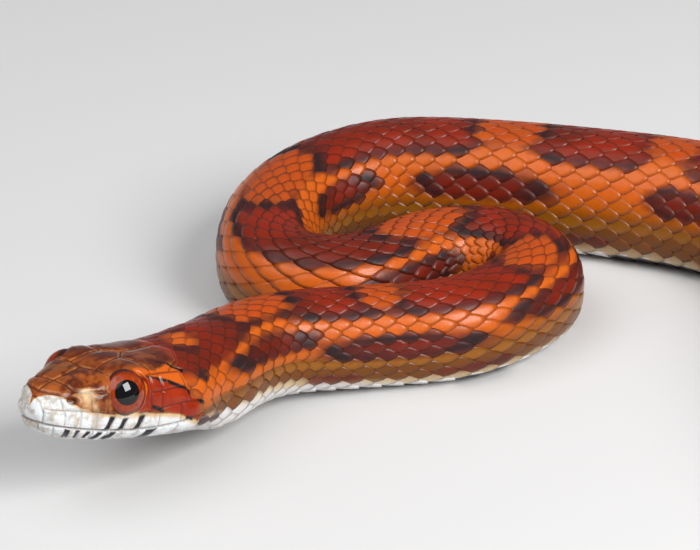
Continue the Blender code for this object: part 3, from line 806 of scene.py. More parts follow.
@dataclass(frozen=True)
class EyePlace:
    """Where an eyeball sits in the head frame, and its size."""

    spot: tuple[float, float, float] = (7.62, 3.85, 1.90)
    # Half-sizes of the ball along its axis and across, and of the hole in the skin
    deep: float = 1.68
    wide: float = 2.14
    opening: float = 1.98
    # Degrees that the opening and the pupil are turned forward and up
    forward: float = 8.0
    up: float = 12.0
    gaze_forward: float = 34.0
    gaze_up: float = 16.0

    def look(self, hand: int) -> Array:
        """Return the direction that the eye's opening faces, in the head frame."""
        return self._way(hand, self.forward, self.up)

    def gaze(self, hand: int) -> Array:
        """Return the direction of the pupil, in the head frame."""
        return self._way(hand, self.gaze_forward, self.gaze_up)

    @staticmethod
    def _way(hand: int, forward: float, up: float) -> Array:
        """Return a direction to one side, turned forward and up by degrees."""
        forward, up = math.radians(forward), math.radians(up)
        way = np.array([-math.sin(forward), hand * math.cos(forward), math.tan(up)])
        return way / np.linalg.norm(way)

    def centre(self, hand: int) -> Array:
        """Return the eye's centre in the head frame."""
        return np.array([self.spot[0], hand * self.spot[1], self.spot[2]])


class Value:
    """A number socket of a material, with Python's operators."""

    def __init__(self, maker: "Paint", socket: bpy.types.NodeSocket) -> None:
        """Keep the socket and the material it belongs to."""
        self.maker = maker
        self.socket = socket

    def _math(self, operation: str, other: "Value | float", clamp: bool = False) -> "Value":
        """Add one Math node."""
        return self.maker.value("ShaderNodeMath", {"operation": operation, "use_clamp": clamp},
                                {0: self, 1: other})

    def __add__(self, other: "Value | float") -> "Value":
        """Add."""
        return self._math("ADD", other)

    def __mul__(self, other: "Value | float") -> "Value":
        """Multiply."""
        return self._math("MULTIPLY", other)

    def __sub__(self, other: "Value | float") -> "Value":
        """Take away."""
        return self._math("SUBTRACT", other)

    def __rsub__(self, other: float) -> "Value":
        """Take this from a number."""
        return (self * -1.0) + other

    def clamped(self) -> "Value":
        """Keep between 0 and 1."""
        return self._math("ADD", 0.0, clamp=True)

    def step(self, low: float, high: float) -> "Value":
        """Go smoothly from 0 at low to 1 at high."""
        return self.maker.value("ShaderNodeMapRange", {"interpolation_type": "SMOOTHSTEP"},
                                {"Value": self, "From Min": low, "From Max": high})


class Paint:
    """One material being made, node by node."""

    def __init__(self, name: str) -> None:
        """Start a material with its Principled shader."""
        self.material = bpy.data.materials.new(name)
        self.material.use_nodes = True
        self.tree = self.material.node_tree
        self.shader = self.tree.nodes["Principled BSDF"]

    def node(self, kind: str, settings: dict[str, object], sockets: dict) -> bpy.types.Node:
        """Add a node.

        Args:
            kind: Type of the node.
            settings: Its settings.
            sockets: Values or links of its inputs, by name or place.

        Returns:
            The new node.
        """
        node = self.tree.nodes.new(kind)
        for name, setting in settings.items():
            setattr(node, name, setting)
        for key, given in sockets.items():
            self.feed(node.inputs[key], given)
        return node

    def feed(self, socket: bpy.types.NodeSocket, given: object) -> None:
        """Set a socket to a value or link it."""
        if isinstance(given, Value):
            given = given.socket
        if isinstance(given, bpy.types.NodeSocket):
            self.tree.links.new(given, socket)
        elif isinstance(given, tuple):
            socket.default_value = (*given, 1.0)
        else:
            socket.default_value = given

    def value(self, kind: str, settings: dict[str, object], sockets: dict,
              out: int | str = 0) -> Value:
        """Add a node and wrap one number output."""
        return Value(self, self.node(kind, settings, sockets).outputs[out])

    def stored(self, name: str) -> Value:
        """Read a named value kept on the mesh."""
        return self.value("ShaderNodeAttribute", {"attribute_name": name}, {}, "Fac")

    def noise(self, scale: float, detail: float = 3.0, rough: float = 0.5) -> Value:
        """Return fine noise on the object coordinates."""
        place = self.node("ShaderNodeTexCoord", {}, {}).outputs["Object"]
        return self.value("ShaderNodeTexNoise", {},
                          {"Vector": place, "Scale": scale, "Detail": detail,
                           "Roughness": rough}, "Fac")

    def mix(self, share: "Value | float", first: object, second: object) -> bpy.types.NodeSocket:
        """Mix two colours."""
        return self.node("ShaderNodeMix", {"data_type": "RGBA"},
                         {0: share, 6: first, 7: second}).outputs[2]

    def ramp(self, share: Value, stops: tuple) -> bpy.types.NodeSocket:
        """Turn a number into a colour."""
        node = self.node("ShaderNodeValToRGB", {}, {0: share})
        marks = node.color_ramp.elements
        while len(marks) < len(stops):
            marks.new(1.0)
        for mark, (place, colour) in zip(marks, stops):
            mark.position = place
            mark.color = (*colour, 1.0)
        return node.outputs["Color"]

    def grain(self, height: Value, strength: float) -> None:
        """Feed the normal with a very shallow bump."""
        node = self.node("ShaderNodeBump", {}, {"Height": height, "Distance": GRAIN_DEEP,
                                                "Strength": strength})
        self.tree.links.new(node.outputs["Normal"], self.shader.inputs["Normal"])

    def finish(self, **sockets: object) -> bpy.types.Material:
        """Set the shader's sockets and return the material."""
        for name, given in sockets.items():
            title = name.replace("_", " ").title().replace("Ior", "IOR")
            self.feed(self.shader.inputs[title], given)
        return self.material


@dataclass(frozen=True)
class SkinFinish:
    """Colours of the scaled skin."""

    orange: Colour = (0.56, 0.100, 0.006)
    oval: Colour = (0.44, 0.056, 0.003)
    # Low flank: real flank colours, darkened partly as painted shade on the underside
    amber: Colour = (0.41, 0.092, 0.003)
    ochre_and_shade: Colour = (0.135, 0.040, 0.002)
    yellow_and_highlight: Colour = (0.275, 0.095, 0.004)
    cream: Colour = (0.62, 0.48, 0.28)
    white: Colour = (0.74, 0.74, 0.73)
    red: Colour = (0.240, 0.015, 0.002)
    brown: Colour = (0.125, 0.011, 0.003)
    black: Colour = (0.010, 0.007, 0.009)
    # Colour and strength of painted shade at a scale's rim and underside, and on the skin between
    # the scales
    rim: Colour = (0.07, 0.018, 0.008)
    rim_shade_share: float = 0.45
    between: Colour = (0.05, 0.016, 0.008)
    between_shade_share: float = 0.85

    def dressed(self, name: str, deep: bool = False) -> bpy.types.Material:
        """Make the material of the scales, or of the skin under them.

        Args:
            name: Name of the material.
            deep: Whether it is the skin that shows between the scales.

        Returns:
            The material.
        """
        paint = Paint(name)
        side, dark, black, tone, rim, oval = (
            paint.stored(n) for n in ("side", "dark", "black", "tone", "rim", "oval"))
        # The narrow yellow band between the ochres is partly a painted highlight along a row of
        # scales
        ground = paint.ramp(side * 0.8, (
            (0.0, self.orange), (0.44, self.orange), (0.515, self.amber), (0.56, self.ochre_and_shade),
            (0.60, self.yellow_and_highlight), (0.645, self.ochre_and_shade), (0.735, self.ochre_and_shade), (0.785, self.cream),
            (0.82, self.white)))
        ground = paint.mix(oval, ground, self.oval)
        ground = paint.mix((tone * 0.5 + 0.5) * 0.20, ground, self.yellow_and_highlight)
        speckle = paint.noise(1400.0, 4.0, 0.6)
        ground = paint.mix(speckle.step(0.45, 0.8) * 0.25, ground, self.red)
        shade = paint.mix(paint.noise(160.0, 2.0).step(0.35, 0.7), self.red, self.brown)
        colour = paint.mix(dark, ground, shade)
        colour = paint.mix(black * 0.96, colour, self.black)
        # Painted shade darkens a scale's rim and underside, or the skin between the scales
        share = self.between_shade_share if deep else self.rim_shade_share
        colour = paint.mix(rim.step(0.45, 1.0) * share, colour, self.between if deep else self.rim)
        paint.grain(paint.noise(3200.0, 3.0) * 0.5, 0.5)
        rough = paint.noise(900.0, 2.0) * 0.16 + black * 0.16 + 0.24
        return paint.finish(base_color=colour, roughness=rough, coat_weight=(1 - black) * 0.10,
                            coat_roughness=0.10, specular_ior_level=0.24)


@dataclass(frozen=True)
class HeadFinish:
    """Colours of the head's plates."""

    skin: SkinFinish = SkinFinish()
    crown: Colour = (0.100, 0.015, 0.004)
    amber: Colour = (0.43, 0.102, 0.013)
    olive: Colour = (0.15, 0.095, 0.022)
    lip: Colour = (0.72, 0.75, 0.77)
    tan: Colour = (0.62, 0.42, 0.22)
    # Painted highlight along the rims of the plates
    edge_highlight: Colour = (0.62, 0.27, 0.075)
    temple: Colour = (0.33, 0.026, 0.002)
    shadow: Colour = (0.30, 0.24, 0.22)
    # Dark streaks of the crown, also used as painted shade in the seams, nostrils and line of the
    # mouth
    streak_and_shade: Colour = (0.070, 0.010, 0.004)
    # Painted olive shade on the white of the snout
    olive_shade: Colour = (0.33, 0.235, 0.115)

    def dressed(self, name: str) -> bpy.types.Material:
        """Make the material of the head."""
        paint = Paint(name)
        pale, amber, red, black, groove, streak_and_seam_shade, front, edge = (
            paint.stored(n) for n in ("pale", "amber", "red", "black", "groove", "streak_and_seam_shade",
                                      "front", "edge"))
        blotch = paint.noise(420.0, 4.0, 0.6)
        fine = paint.noise(1500.0, 3.0, 0.6)
        lit = blotch.step(0.42, 0.66) * 0.40 + front * 0.42
        colour = paint.mix(lit.clamped(), self.crown, self.amber)
        olive = paint.noise(260.0, 3.0).step(0.54, 0.70) * (front * 0.45 + 0.05)
        colour = paint.mix(olive, colour, self.olive)
        veins = paint.noise(330.0, 5.0, 0.7).step(0.50, 0.60)
        colour = paint.mix(veins * 0.85, colour, self.streak_and_shade)
        # Painted highlight along the rims of the plates, broken by fine noise
        colour = paint.mix(edge * (fine.step(0.35, 0.65) * 0.5 + 0.02), colour, self.edge_highlight)
        # Crown streaks, with painted shade in the seams over the top of the head
        colour = paint.mix(streak_and_seam_shade, colour, self.streak_and_shade)
        colour = paint.mix(amber, colour, self.skin.orange)
        redness = paint.mix(blotch.step(0.3, 0.7), self.temple, self.skin.red)
        colour = paint.mix(red, colour, redness)
        paleness = pale + (blotch - 0.5) * 0.7
        lips = paint.mix(paleness.step(0.55, 0.95), self.tan, self.lip)
        lips = paint.mix(fine.step(0.48, 0.72) * front * 0.5, lips, self.tan)
        # Noisy patches of painted olive shade over the white of the snout
        olive_shading = paint.noise(640.0, 4.0, 0.65).step(0.46, 0.60) * front * 0.6
        lips = paint.mix(olive_shading, lips, self.olive_shade)
        lips = paint.mix(groove * 0.75, lips, self.shadow)
        # Painted shade in the seams, nostrils and line of the mouth
        colour = paint.mix(groove * 0.8, colour, self.streak_and_shade)
        colour = paint.mix(paleness.step(0.32, 0.52), colour, lips)
        colour = paint.mix(black, colour, self.skin.black)
        paint.grain(fine * 0.5, 0.4)
        rough = paint.noise(700.0, 2.0) * 0.14 + 0.22
        return paint.finish(base_color=colour, roughness=rough, coat_weight=0.27,
                            coat_roughness=0.07, specular_ior_level=0.15)


@dataclass(frozen=True)
class EyeFinish:
    """Colours of the eye under its clear scale."""

    pupil: Colour = (0.002, 0.002, 0.003)
    iris: Colour = (0.21, 0.019, 0.001)
    bright: Colour = (0.40, 0.052, 0.002)
    rim: Colour = (0.03, 0.005, 0.003)

    def dressed(self, name: str) -> bpy.types.Material:
        """Make the material of the eye."""
        paint = Paint(name)
        ring, ray = paint.stored("ring"), paint.stored("ray")
        speckle = paint.noise(2600.0, 4.0, 0.7)
        iris = paint.mix(speckle.step(0.35, 0.7), self.iris, self.bright)
        iris = paint.mix(ray * 0.4, iris, self.iris)
        colour = paint.mix(ring.step(0.77, 0.95), iris, self.rim)
        colour = paint.mix(1 - ring.step(0.525, 0.55), colour, self.pupil)
        return paint.finish(base_color=colour, roughness=0.35, specular_ior_level=0.0,
                            coat_weight=1.0, coat_roughness=0.015, coat_ior=1.5)


@dataclass
class Head:
    """The head with its plates, lips, nostrils and sockets, one closed skin."""

    form: SnakeForm
    markings: Markings
    plates: HeadPlates = field(default_factory=HeadPlates)
    eye: EyePlace = field(default_factory=EyePlace)
    finish: HeadFinish = field(default_factory=HeadFinish)
    # Nostril: its place back and up, its half-sizes and its depth
    nostril: tuple[float, float] = (2.15, 1.75)
    nostril_size: tuple[float, float] = (0.52, 0.40)
    nostril_deep: float = 0.55
    # How far a plate stands up, how much more its middle does, and how low bare skin lies
    plate_high: float = 0.13
    plate_dome: float = 0.09
    under_coat: float = 0.16
    # Line of the mouth: its depth, and the distances over which it ends
    slit_deep: float = 0.20
    slit_end: tuple[float, float] = (16.4, 17.6)
    # Height of the rim round each eye, and how far from the eye the skin is pressed in
    lid_high: float = 0.10
    socket_wide: float = 3.2
    socket_deep: float = 1.5
    # Rings of the body that the head's skin runs on over
    past_end: int = 4
    # Side where the pale lips start, and sides of the orange stripe's edges, by distance
    pale_top: Table = (
        (-21, 0.0), (-20.6, 0.10), (-20, 0.28), (-19.2, 0.44), (-18.3, 0.57), (-17, 0.65),
        (-15, 0.72), (-12, 0.745), (-9.5, 0.73), (-8, 0.75), (-7, 0.78), (-6, 0.80),
        (-4, 0.87), (0, 0.84), (4, 0.82),
    )
    stripe_top: Table = (
        (-12, 0.37), (-10, 0.40), (-8, 0.33), (-7, 0.40), (-6, 0.47), (-4, 0.53), (-2, 0.55),
        (0, 0.55), (1.5, 0.58),
    )
    stripe_low: Table = (
        (-12, 0.45), (-10, 0.475), (-8, 0.53), (-7, 0.56), (-6, 0.64), (-4, 0.68), (-2, 0.70),
        (0, 0.69), (1.5, 0.68),
    )
    # Black bars on the upper and the lower lip: place, half-width and reach
    upper_bars: Table = ((5.40, 0.31, 1.0), (6.85, 0.30, 0.92), (8.55, 0.34, 1.0))
    lower_bars: Table = (
        (1.60, 0.34, 0.8), (2.8, 0.24, 0.7), (3.85, 0.23, 0.6), (5.0, 0.28, 0.8),
        (6.4, 0.34, 0.9), (10.5, 0.60, 0.85),
    )

    def build(self) -> bpy.types.Object:
        """Build and dress the head."""
        count, around = self.form.head_rings + self.past_end, self.form.around - 1
        points = self.form.points[:count, :-1].reshape(-1, 3)
        normals = self.form.normals[:count, :-1].reshape(-1, 3)
        spots = self.form.to_head(points)
        height, groove, edge = self._relief(spots)
        points = self._sockets(points + normals * height[:, None], spots)
        along = np.repeat(self.form.along[:count], around)
        share = np.linspace(-1.0, 1.0, self.form.around)[:-1]
        masks = self._masks(spots, along, np.tile(share, count) / self.form.belly_edge, groove)
        # Band along the plate edges, for a painted highlight
        masks["edge"] = edge
        return closed_tube("head_skin", points, around, masks, self.finish.dressed("head_plates"))

    def _relief(self, spots: Array) -> tuple[Array, Array, Array]:
        """Return how far each point stands up, where the grooves that get painted shade are, and
        where plate edges get a painted highlight.
        """
        x, _, z = spots.T
        depth = self.plates.depth(spots)
        for hand in (1, -1):
            ring = np.linalg.norm(spots - self.eye.centre(hand), axis=1)
            depth = np.where(ring < self.eye.wide + 0.4, np.maximum(depth, 0.12), depth)
        height = (rise(-0.02, 0.22, depth) * self.plate_high
                  + rise(0.08, 0.9, depth) * self.plate_dome
                  - rise(0.15, 0.5, -depth) * self.under_coat)
        off = (z - level(self.plates.mouth, x) + 0.045) / 0.06
        slit = np.exp(-off**2) * rise(self.slit_end[1], self.slit_end[0], x)
        height -= slit * self.slit_deep
        pit = np.hypot((x - self.nostril[0]) / self.nostril_size[0],
                       (z - self.nostril[1]) / self.nostril_size[1])
        hole = 1.0 - rise(0.55, 1.0, pit)
        height += np.exp(-((pit - 1.35) / 0.35) ** 2) * 0.05 - hole * self.nostril_deep
        # Seams between plates, the nostrils and the line of the mouth, where the shader paints
        # shade
        groove = 1.0 - rise(0.0, 0.11, np.abs(depth))
        groove = np.clip(np.maximum(groove, np.maximum(hole, slit * 0.6)), 0.0, 1.0)
        # Band just inside each plate's edge, above the lips, for a painted highlight
        edge = np.exp(-((depth - 0.18) / 0.07) ** 2)
        return height, groove, edge * rise(0.0, 0.3, z - level(self.plates.lip_top, x))

    def _sockets(self, points: Array, spots: Array) -> Array:
        """Press the skin in where each eye sits."""
        forward, left, up = self.form.head.axes()
        for hand in (1, -1):
            look = self.eye.look(hand)
            away = spots - self.eye.centre(hand)
            out = away @ look
            ring = np.linalg.norm(away - out[:, None] * look, axis=1)
            near = (out > -self.socket_deep) & (ring < self.socket_wide)
            inner = self.eye.deep * np.sqrt(np.clip(1.0 - (ring / self.eye.wide) ** 2, 0.0, None))
            past = np.clip(ring - self.eye.opening, 0.0, None)
            most = np.maximum(inner, 0.45) + past * 5.0 - 0.12
            lid = np.exp(-((past - 0.24) / 0.15) ** 2) * (past > 0) * self.lid_high
            move = np.where(near, np.minimum(most - out, 0.0) + lid, 0.0)
            points = points + move[:, None] * (-look[0] * forward + look[1] * left + look[2] * up)
        return points

    def _bars(self, spots: Array) -> Array:
        """Return where black bars cross the lips."""
        x, y, z = spots.T
        lips = self.plates.along_lip(x, y)
        mouth = level(self.plates.mouth, x)
        over, drop = z - mouth, mouth - 0.18 - z
        share = over / (level(self.plates.lip_top, x) - mouth)
        black = np.zeros(len(x))
        for joint, wide, high in self.upper_bars:
            bar = rise(wide + 0.06, wide - 0.06, np.abs(lips - joint - over * 0.38))
            bar *= rise(-0.05, 0.05, over + 0.10) * rise(high, high - 0.2, share)
            black = np.maximum(black, bar)
        for joint, wide, high in self.lower_bars:
            bar = rise(wide + 0.06, wide - 0.06, np.abs(lips - joint + drop * 0.45))
            bar *= rise(-0.05, 0.05, drop) * rise(high * 1.25, high, drop)
            black = np.maximum(black, bar)
        return black

    @staticmethod
    def _streaks(spots: Array, along: Array, across: Array) -> Array:
        """Return where dark, broken streaks run over the crown."""
        x, y, _ = spots.T
        flow = np.sin(np.abs(y) * 4.4 + 1.2 * np.sin(x * 0.8) + 0.6 * np.sin(x * 2.1 + y))
        broken = rise(-0.6, 0.7, np.sin(x * 1.6 + 2.2 * y) + 0.4 * np.sin(x * 3.7 - y))
        streaks = rise(0.15, 0.85, flow) * broken * rise(0.47, 0.36, across)
        return streaks * (rise(-20.3, -18.5, along) * rise(-4.5, -7.0, along) * 0.75)

    def _masks(self, spots: Array, along: Array, side: Array, groove: Array) -> dict[str, Array]:
        """Return the colour masks of the head."""
        across = np.abs(side)
        from_pale = across - level(self.pale_top, along)
        # Pale patch on the nasal and loreal plates: partly their cream colour, partly a painted
        # highlight
        nasal_cream_and_highlight = rise(-14.8, -17.0, along) * rise(0.30, 0.42, across)
        pale = np.maximum(rise(-0.045, 0.09, from_pale), nasal_cream_and_highlight * 0.40)
        from_top = across - level(self.stripe_top, along)
        from_low = across - level(self.stripe_low, along)
        amber = rise(-0.015, 0.015, from_top) * rise(0.015, -0.015, from_low)
        amber *= rise(-12.9, -12.4, along)
        stripe = rise(-0.01, 0.02, from_low) * rise(0.01, -0.02, from_pale)
        stripe *= rise(-12.7, -12.3, along) * rise(-5.4, -6.3, along)
        nape = rise(-7.5, -5.5, along) * rise(0.02, -0.03, from_top)
        black = np.maximum(self._bars(spots), self.markings.strokes_at(along, across))
        # Painted shade in the seams over the top of the head
        seam_shade = groove * 0.5 * rise(0.5, 0.3, across)
        return {"pale": pale, "amber": amber, "red": np.maximum(stripe, nape * 0.85),
                "black": black * (along < 0.5), "groove": groove,
                "streak_and_seam_shade": np.maximum(seam_shade, self._streaks(spots, along, across)),
                "front": np.maximum(rise(-12.5, -17.5, along), 0.7 * rise(0.30, 0.42, across))}


@dataclass
class Eye:
    """One eyeball under its clear scale."""

    form: SnakeForm
    place: EyePlace = field(default_factory=EyePlace)
    # Light and dark rays round the iris
    rays: int = 17

    def build(self, name: str, hand: int, material: bpy.types.Material) -> bpy.types.Object:
        """Build one eyeball.

        Args:
            name: Name of the piece.
            hand: 1 for the left eye, -1 for the right.
            material: Its finish.

        Returns:
            The eyeball.
        """
        ball = primitive("primitive_uv_sphere_add", name, segments=64, ring_count=40, radius=1.0)
        points, triangles = read_mesh(ball)
        look = self.place.look(hand)
        across = np.cross(look, [0.0, 0.0, 1.0])
        across /= np.linalg.norm(across)
        upright = np.cross(across, look)
        wide, deep = self.place.wide, self.place.deep
        spots = (self.place.centre(hand) + points[:, :1] * wide * across
                 + points[:, 1:2] * wide * upright + points[:, 2:] * deep * look)
        room = self.form.head.to_room(spots)
        room[:, :2] -= np.array(self.form.home)
        if np.linalg.det(np.stack([across, upright, look])) > 0:
            triangles = triangles[:, ::-1]
        obj = mesh_object(name, room, triangles)
        away = (spots - self.place.centre(hand)) / wide
        gaze = self.place.gaze(hand)
        out = away @ gaze
        flat = away - out[:, None] * gaze
        ring = np.linalg.norm(flat, axis=1)
        turn = np.arctan2(flat @ upright, flat @ across)
        store(obj, {"ring": np.where(out > 0, ring, 2.0 - ring),
                    "ray": 0.5 + 0.5 * np.sin(turn * self.rays)})
        obj.data.materials.append(material)
        return obj


@dataclass
class Skin:
    """The skin of the body that shows between the scales."""

    form: SnakeForm
    markings: Markings
    under_coat: float = 0.17
    across: int = 96
    step: int = 3
    # Rings of the head that the skin starts ahead of the neck
    overlap: int = 20

    def build(self, material: bpy.types.Material) -> bpy.types.Object:
        """Build the body's skin from inside the head to the tip of the tail."""
        rows = self.form.along[self.form.head_rings - self.overlap::self.step]
        share = np.linspace(-1.0, 1.0, self.across + 1)[:-1] / self.form.belly_edge
        along, side = (grid.ravel() for grid in np.meshgrid(rows, share, indexing="ij"))
        inset = np.minimum(self.under_coat, 0.12 * self.form.girth(np.clip(along, 0, None)))
        points = self.form.lay(along, side, -inset)
        masks = self.markings.read(self.form, along, side)
        # A fixed rim value darkens this skin as painted shade between the scales
        masks |= {"tone": np.zeros(len(points)), "rim": np.full(len(points), 0.8)}
        return closed_tube("body_skin", points, self.across, masks, material)


@dataclass
class Coat:
    """The small scales, in rows over the back and on the throat."""

    form: SnakeForm
    markings: Markings
    plates: HeadPlates
    seed: int = 5
    # Rows on each side of the back, and rows counted on over the throat
    half_rows: int = 13
    gular_rows: int = 19
    # Where the lengths of scales begin and end, and the distance of the last scale
    lengths: tuple[float, ...] = (-30.0, 36.0, 90.0, 150.0, 215.0, 290.0, 365.0, 440.0, 520.0,
                                  605.0, 740.0)
    last: float = 733.0
    # Side of the middle of the belly, and the distance where the throat's rows stop
    middle: float = 1.389
    throat_end: float = -1.2
    # Distance from scale to scale in one row, along the animal
    pitch_table: Table = (
        (-14, 1.5), (-6, 1.65), (0, 1.95), (12, 2.3), (60, 2.45), (150, 2.75), (280, 2.95),
        (480, 2.9), (615, 2.5), (680, 1.9), (720, 1.35), (740, 1.0),
    )
    # Where a pair of rows ends: the row's number from the back, and the distance, with
    # half the length over which it dies out
    row_ends: tuple[tuple[int, float], ...] = (
        (9, 400.0), (8, 455.0), (10, 515.0), (7, 570.0), (11, 622.0), (6, 640.0), (5, 658.0),
        (12, 676.0), (4, 694.0), (3, 712.0),
    )
    row_fade: float = 9.0
    # The row that only starts behind the neck, and where it does
    late_row: tuple[int, float, float] = (9, 2.0, 22.0)
    # Length and width against the room of a scale, and how steeply it stands
    long_share: float = 0.70
    wide_share: float = 1.02
    slope: float = 0.052
    # How deep a scale's middle sits in the skin, and the most that its root does
    sunk: float = 0.10
    deepest: float = 0.35
    keel_high: float = 0.018

    def __post_init__(self) -> None:
        """Work out where each row runs and where scales start along it."""
        self.chance = np.random.default_rng(self.seed)
        step = 0.05
        fine = np.arange(self.pitch_table[0][0], self.pitch_table[-1][0], step)
        self._fine = fine
        self._count = np.append(0.0, np.cumsum(step / self.pitch(fine)))[:-1]
        self._weights = np.ones((self.half_rows + 1, len(fine)))
        for row, end in self.row_ends:
            self._weights[row] = 1.0 - rise(end - self.row_fade, end + self.row_fade, fine)
        late, start, full = self.late_row
        self._weights[late] = np.minimum(self._weights[late], rise(start, full, fine))
        reached = np.cumsum(self._weights, axis=0) - self._weights[0] / 2
        self._spacing = 1.0 / reached[-1]
        self._row_side = (reached - self._weights / 2) * self._spacing
        self._row_side[0] = 0.0

    def pitch(self, along: Array) -> Array:
        """Return the distance from scale to scale in one row."""
        return level(self.pitch_table, along)

    def row_places(self, shift: float = 0.0) -> Array:
        """Return the distances of the scales in one row, shifted by a share of a scale."""
        numbers = np.arange(math.ceil(self._count[0]), math.floor(self._count[-1])) + shift
        return np.interp(numbers, self._count, self._fine)

    def scale_template(self) -> tuple[Array, Array]:
        """Model one small scale, as long and wide as one, and read it.

        Returns:
            Its points and triangles, with the tip towards positive x.
        """
        obj = primitive("primitive_uv_sphere_add", "scale", segments=14, ring_count=5, radius=1.0)
        bpy.ops.object.mode_set(mode="EDIT")
        bpy.ops.mesh.select_all(action="SELECT")
        bpy.ops.transform.resize(value=(1.0, 1.0, 0.55))
        bpy.ops.object.mode_set(mode="OBJECT")
        return read_mesh(obj)

    def rooted(self) -> dict[str, Array]:
        """Return where every small scale grows and how big it is."""
        spots = {n: [] for n in ("along", "side", "long", "wide")}
        for row in range(-self.gular_rows, self.gular_rows + 1):
            number = abs(row)
            along = self.row_places(0.5 * (number % 2))
            space = np.interp(along, self._fine, self._spacing)
            flank = min(number, self.half_rows)
            side = np.interp(along, self._fine, self._row_side[flank])
            if number > flank:
                side = side + (number - flank) * space * self.wide_share
                weight = np.ones_like(along)
                keep = (along < self.throat_end) & (side < self.middle + 0.001)
            else:
                weight = np.interp(along, self._fine, self._weights[number])
                keep = (weight > 0.3) & (along < self.last)
            side = side * np.sign(row)
            at = self.form.to_head(self.form.lay(along, side, np.zeros_like(along)))
            on_plate = self.plates.depth(at) > -0.25
            keep &= ~((along < 0.5) & (on_plate | (at[:, 0] < 6.0)))
            wide = space * self.form.half_arc(along) * np.clip(weight, 0.45, 1.0)
            for name, values in zip(spots, (along, side, self.pitch(along), wide)):
                spots[name].append(values[keep])
        return {n: np.concatenate(v) for n, v in spots.items()}

    def build(self, material: bpy.types.Material) -> list[bpy.types.Object]:
        """Lay the small scales, one piece for each length of the body."""
        template, triangles = self.scale_template()
        roots = self.rooted()
        pieces = []
        for k, (a, b) in enumerate(zip(self.lengths, self.lengths[1:])):
            here = (roots["along"] >= a) & (roots["along"] < b)
            part = {n: v[here] for n, v in roots.items()}
            points, masks, unrolled = self._laid(template, part, (a, b))
            pieces.append(joined_copies(f"scales_{k + 1}", points, triangles, masks, unrolled,
                                        material))
        return pieces

    def _laid(self, template: Array, roots: dict[str, Array],
              span: tuple[float, float]) -> tuple[Array, dict[str, Array], Array]:
        """Lay copies of the scale on the skin at their roots.

        Args:
            template: Points of one scale.
            roots: Where the scales grow and how big they are.
            span: Distances at which this length of scales begins and ends.

        Returns:
            Points, masks, and each scale's small patch on the unrolled skin.
        """
        t, v, w = template.T
        middle, share = roots["along"][:, None], roots["side"][:, None]
        count = len(middle)
        taper = np.where(np.abs(t) > 0.35, 1.0 - 0.22 * (np.abs(t) - 0.35), 1.0)
        v = v * (1.0 - 0.20 * np.abs(t) ** 1.5 - 0.12 * t) * taper
        long = roots["long"][:, None] * self.long_share
        wide = roots["wide"][:, None] * self.wide_share
        skew = self.chance.normal(0.0, 0.02, (count, 1))
        stretch = self.form.read(self.form.stretch, middle, share)
        ease = np.clip(stretch, 0.25, 1.6) ** -0.6
        along = middle + t * long * ease + v * wide * skew
        side = share + v * wide / self.form.half_arc(roots["along"])[:, None]
        dome = np.where(w > 0, w * 0.55, w * 0.25) * np.minimum(wide, 1.2) * 0.30
        keel = np.exp(-(v / 0.16) ** 2) * np.clip(w, 0, None) * self.keel_high
        keel = keel * rise(0.45, 0.1, np.abs(share))
        height = (-self.sunk + self.slope * t * long + dome + keel) * np.minimum(1.0, long / 1.6)
        height = np.maximum(height, -self.deepest)
        inside = np.clip(side, -self.middle, self.middle)
        points = self.form.lay(along.ravel(), inside.ravel(), height.ravel())
        spread = self.markings.read(self.form, along.ravel(), side.ravel())
        masks = {key: 0.62 * values[:, None] + 0.38 * spread[key].reshape(count, -1)
                 for key, values in
                 self.markings.read(self.form, roots["along"], roots["side"]).items()}
        tone = np.clip(self.chance.normal(0.0, 0.45, (count, 1)), -1, 1)
        masks["tone"] = np.repeat(tone, len(t), axis=1)
        # Rim grows towards the scale's outline and is full underneath, for painted shade there
        rim = np.where(w < -0.1, 1.0, np.hypot(t, template[:, 1]))
        masks["rim"] = np.tile(rim, (count, 1))
        roots_at = np.stack([(middle - span[0]) / (span[1] - span[0]),
                             (share / self.middle + 1.0) / 2], axis=-1)
        return points, masks, 0.004 + 0.992 * roots_at + template[:, :2] * 0.0016


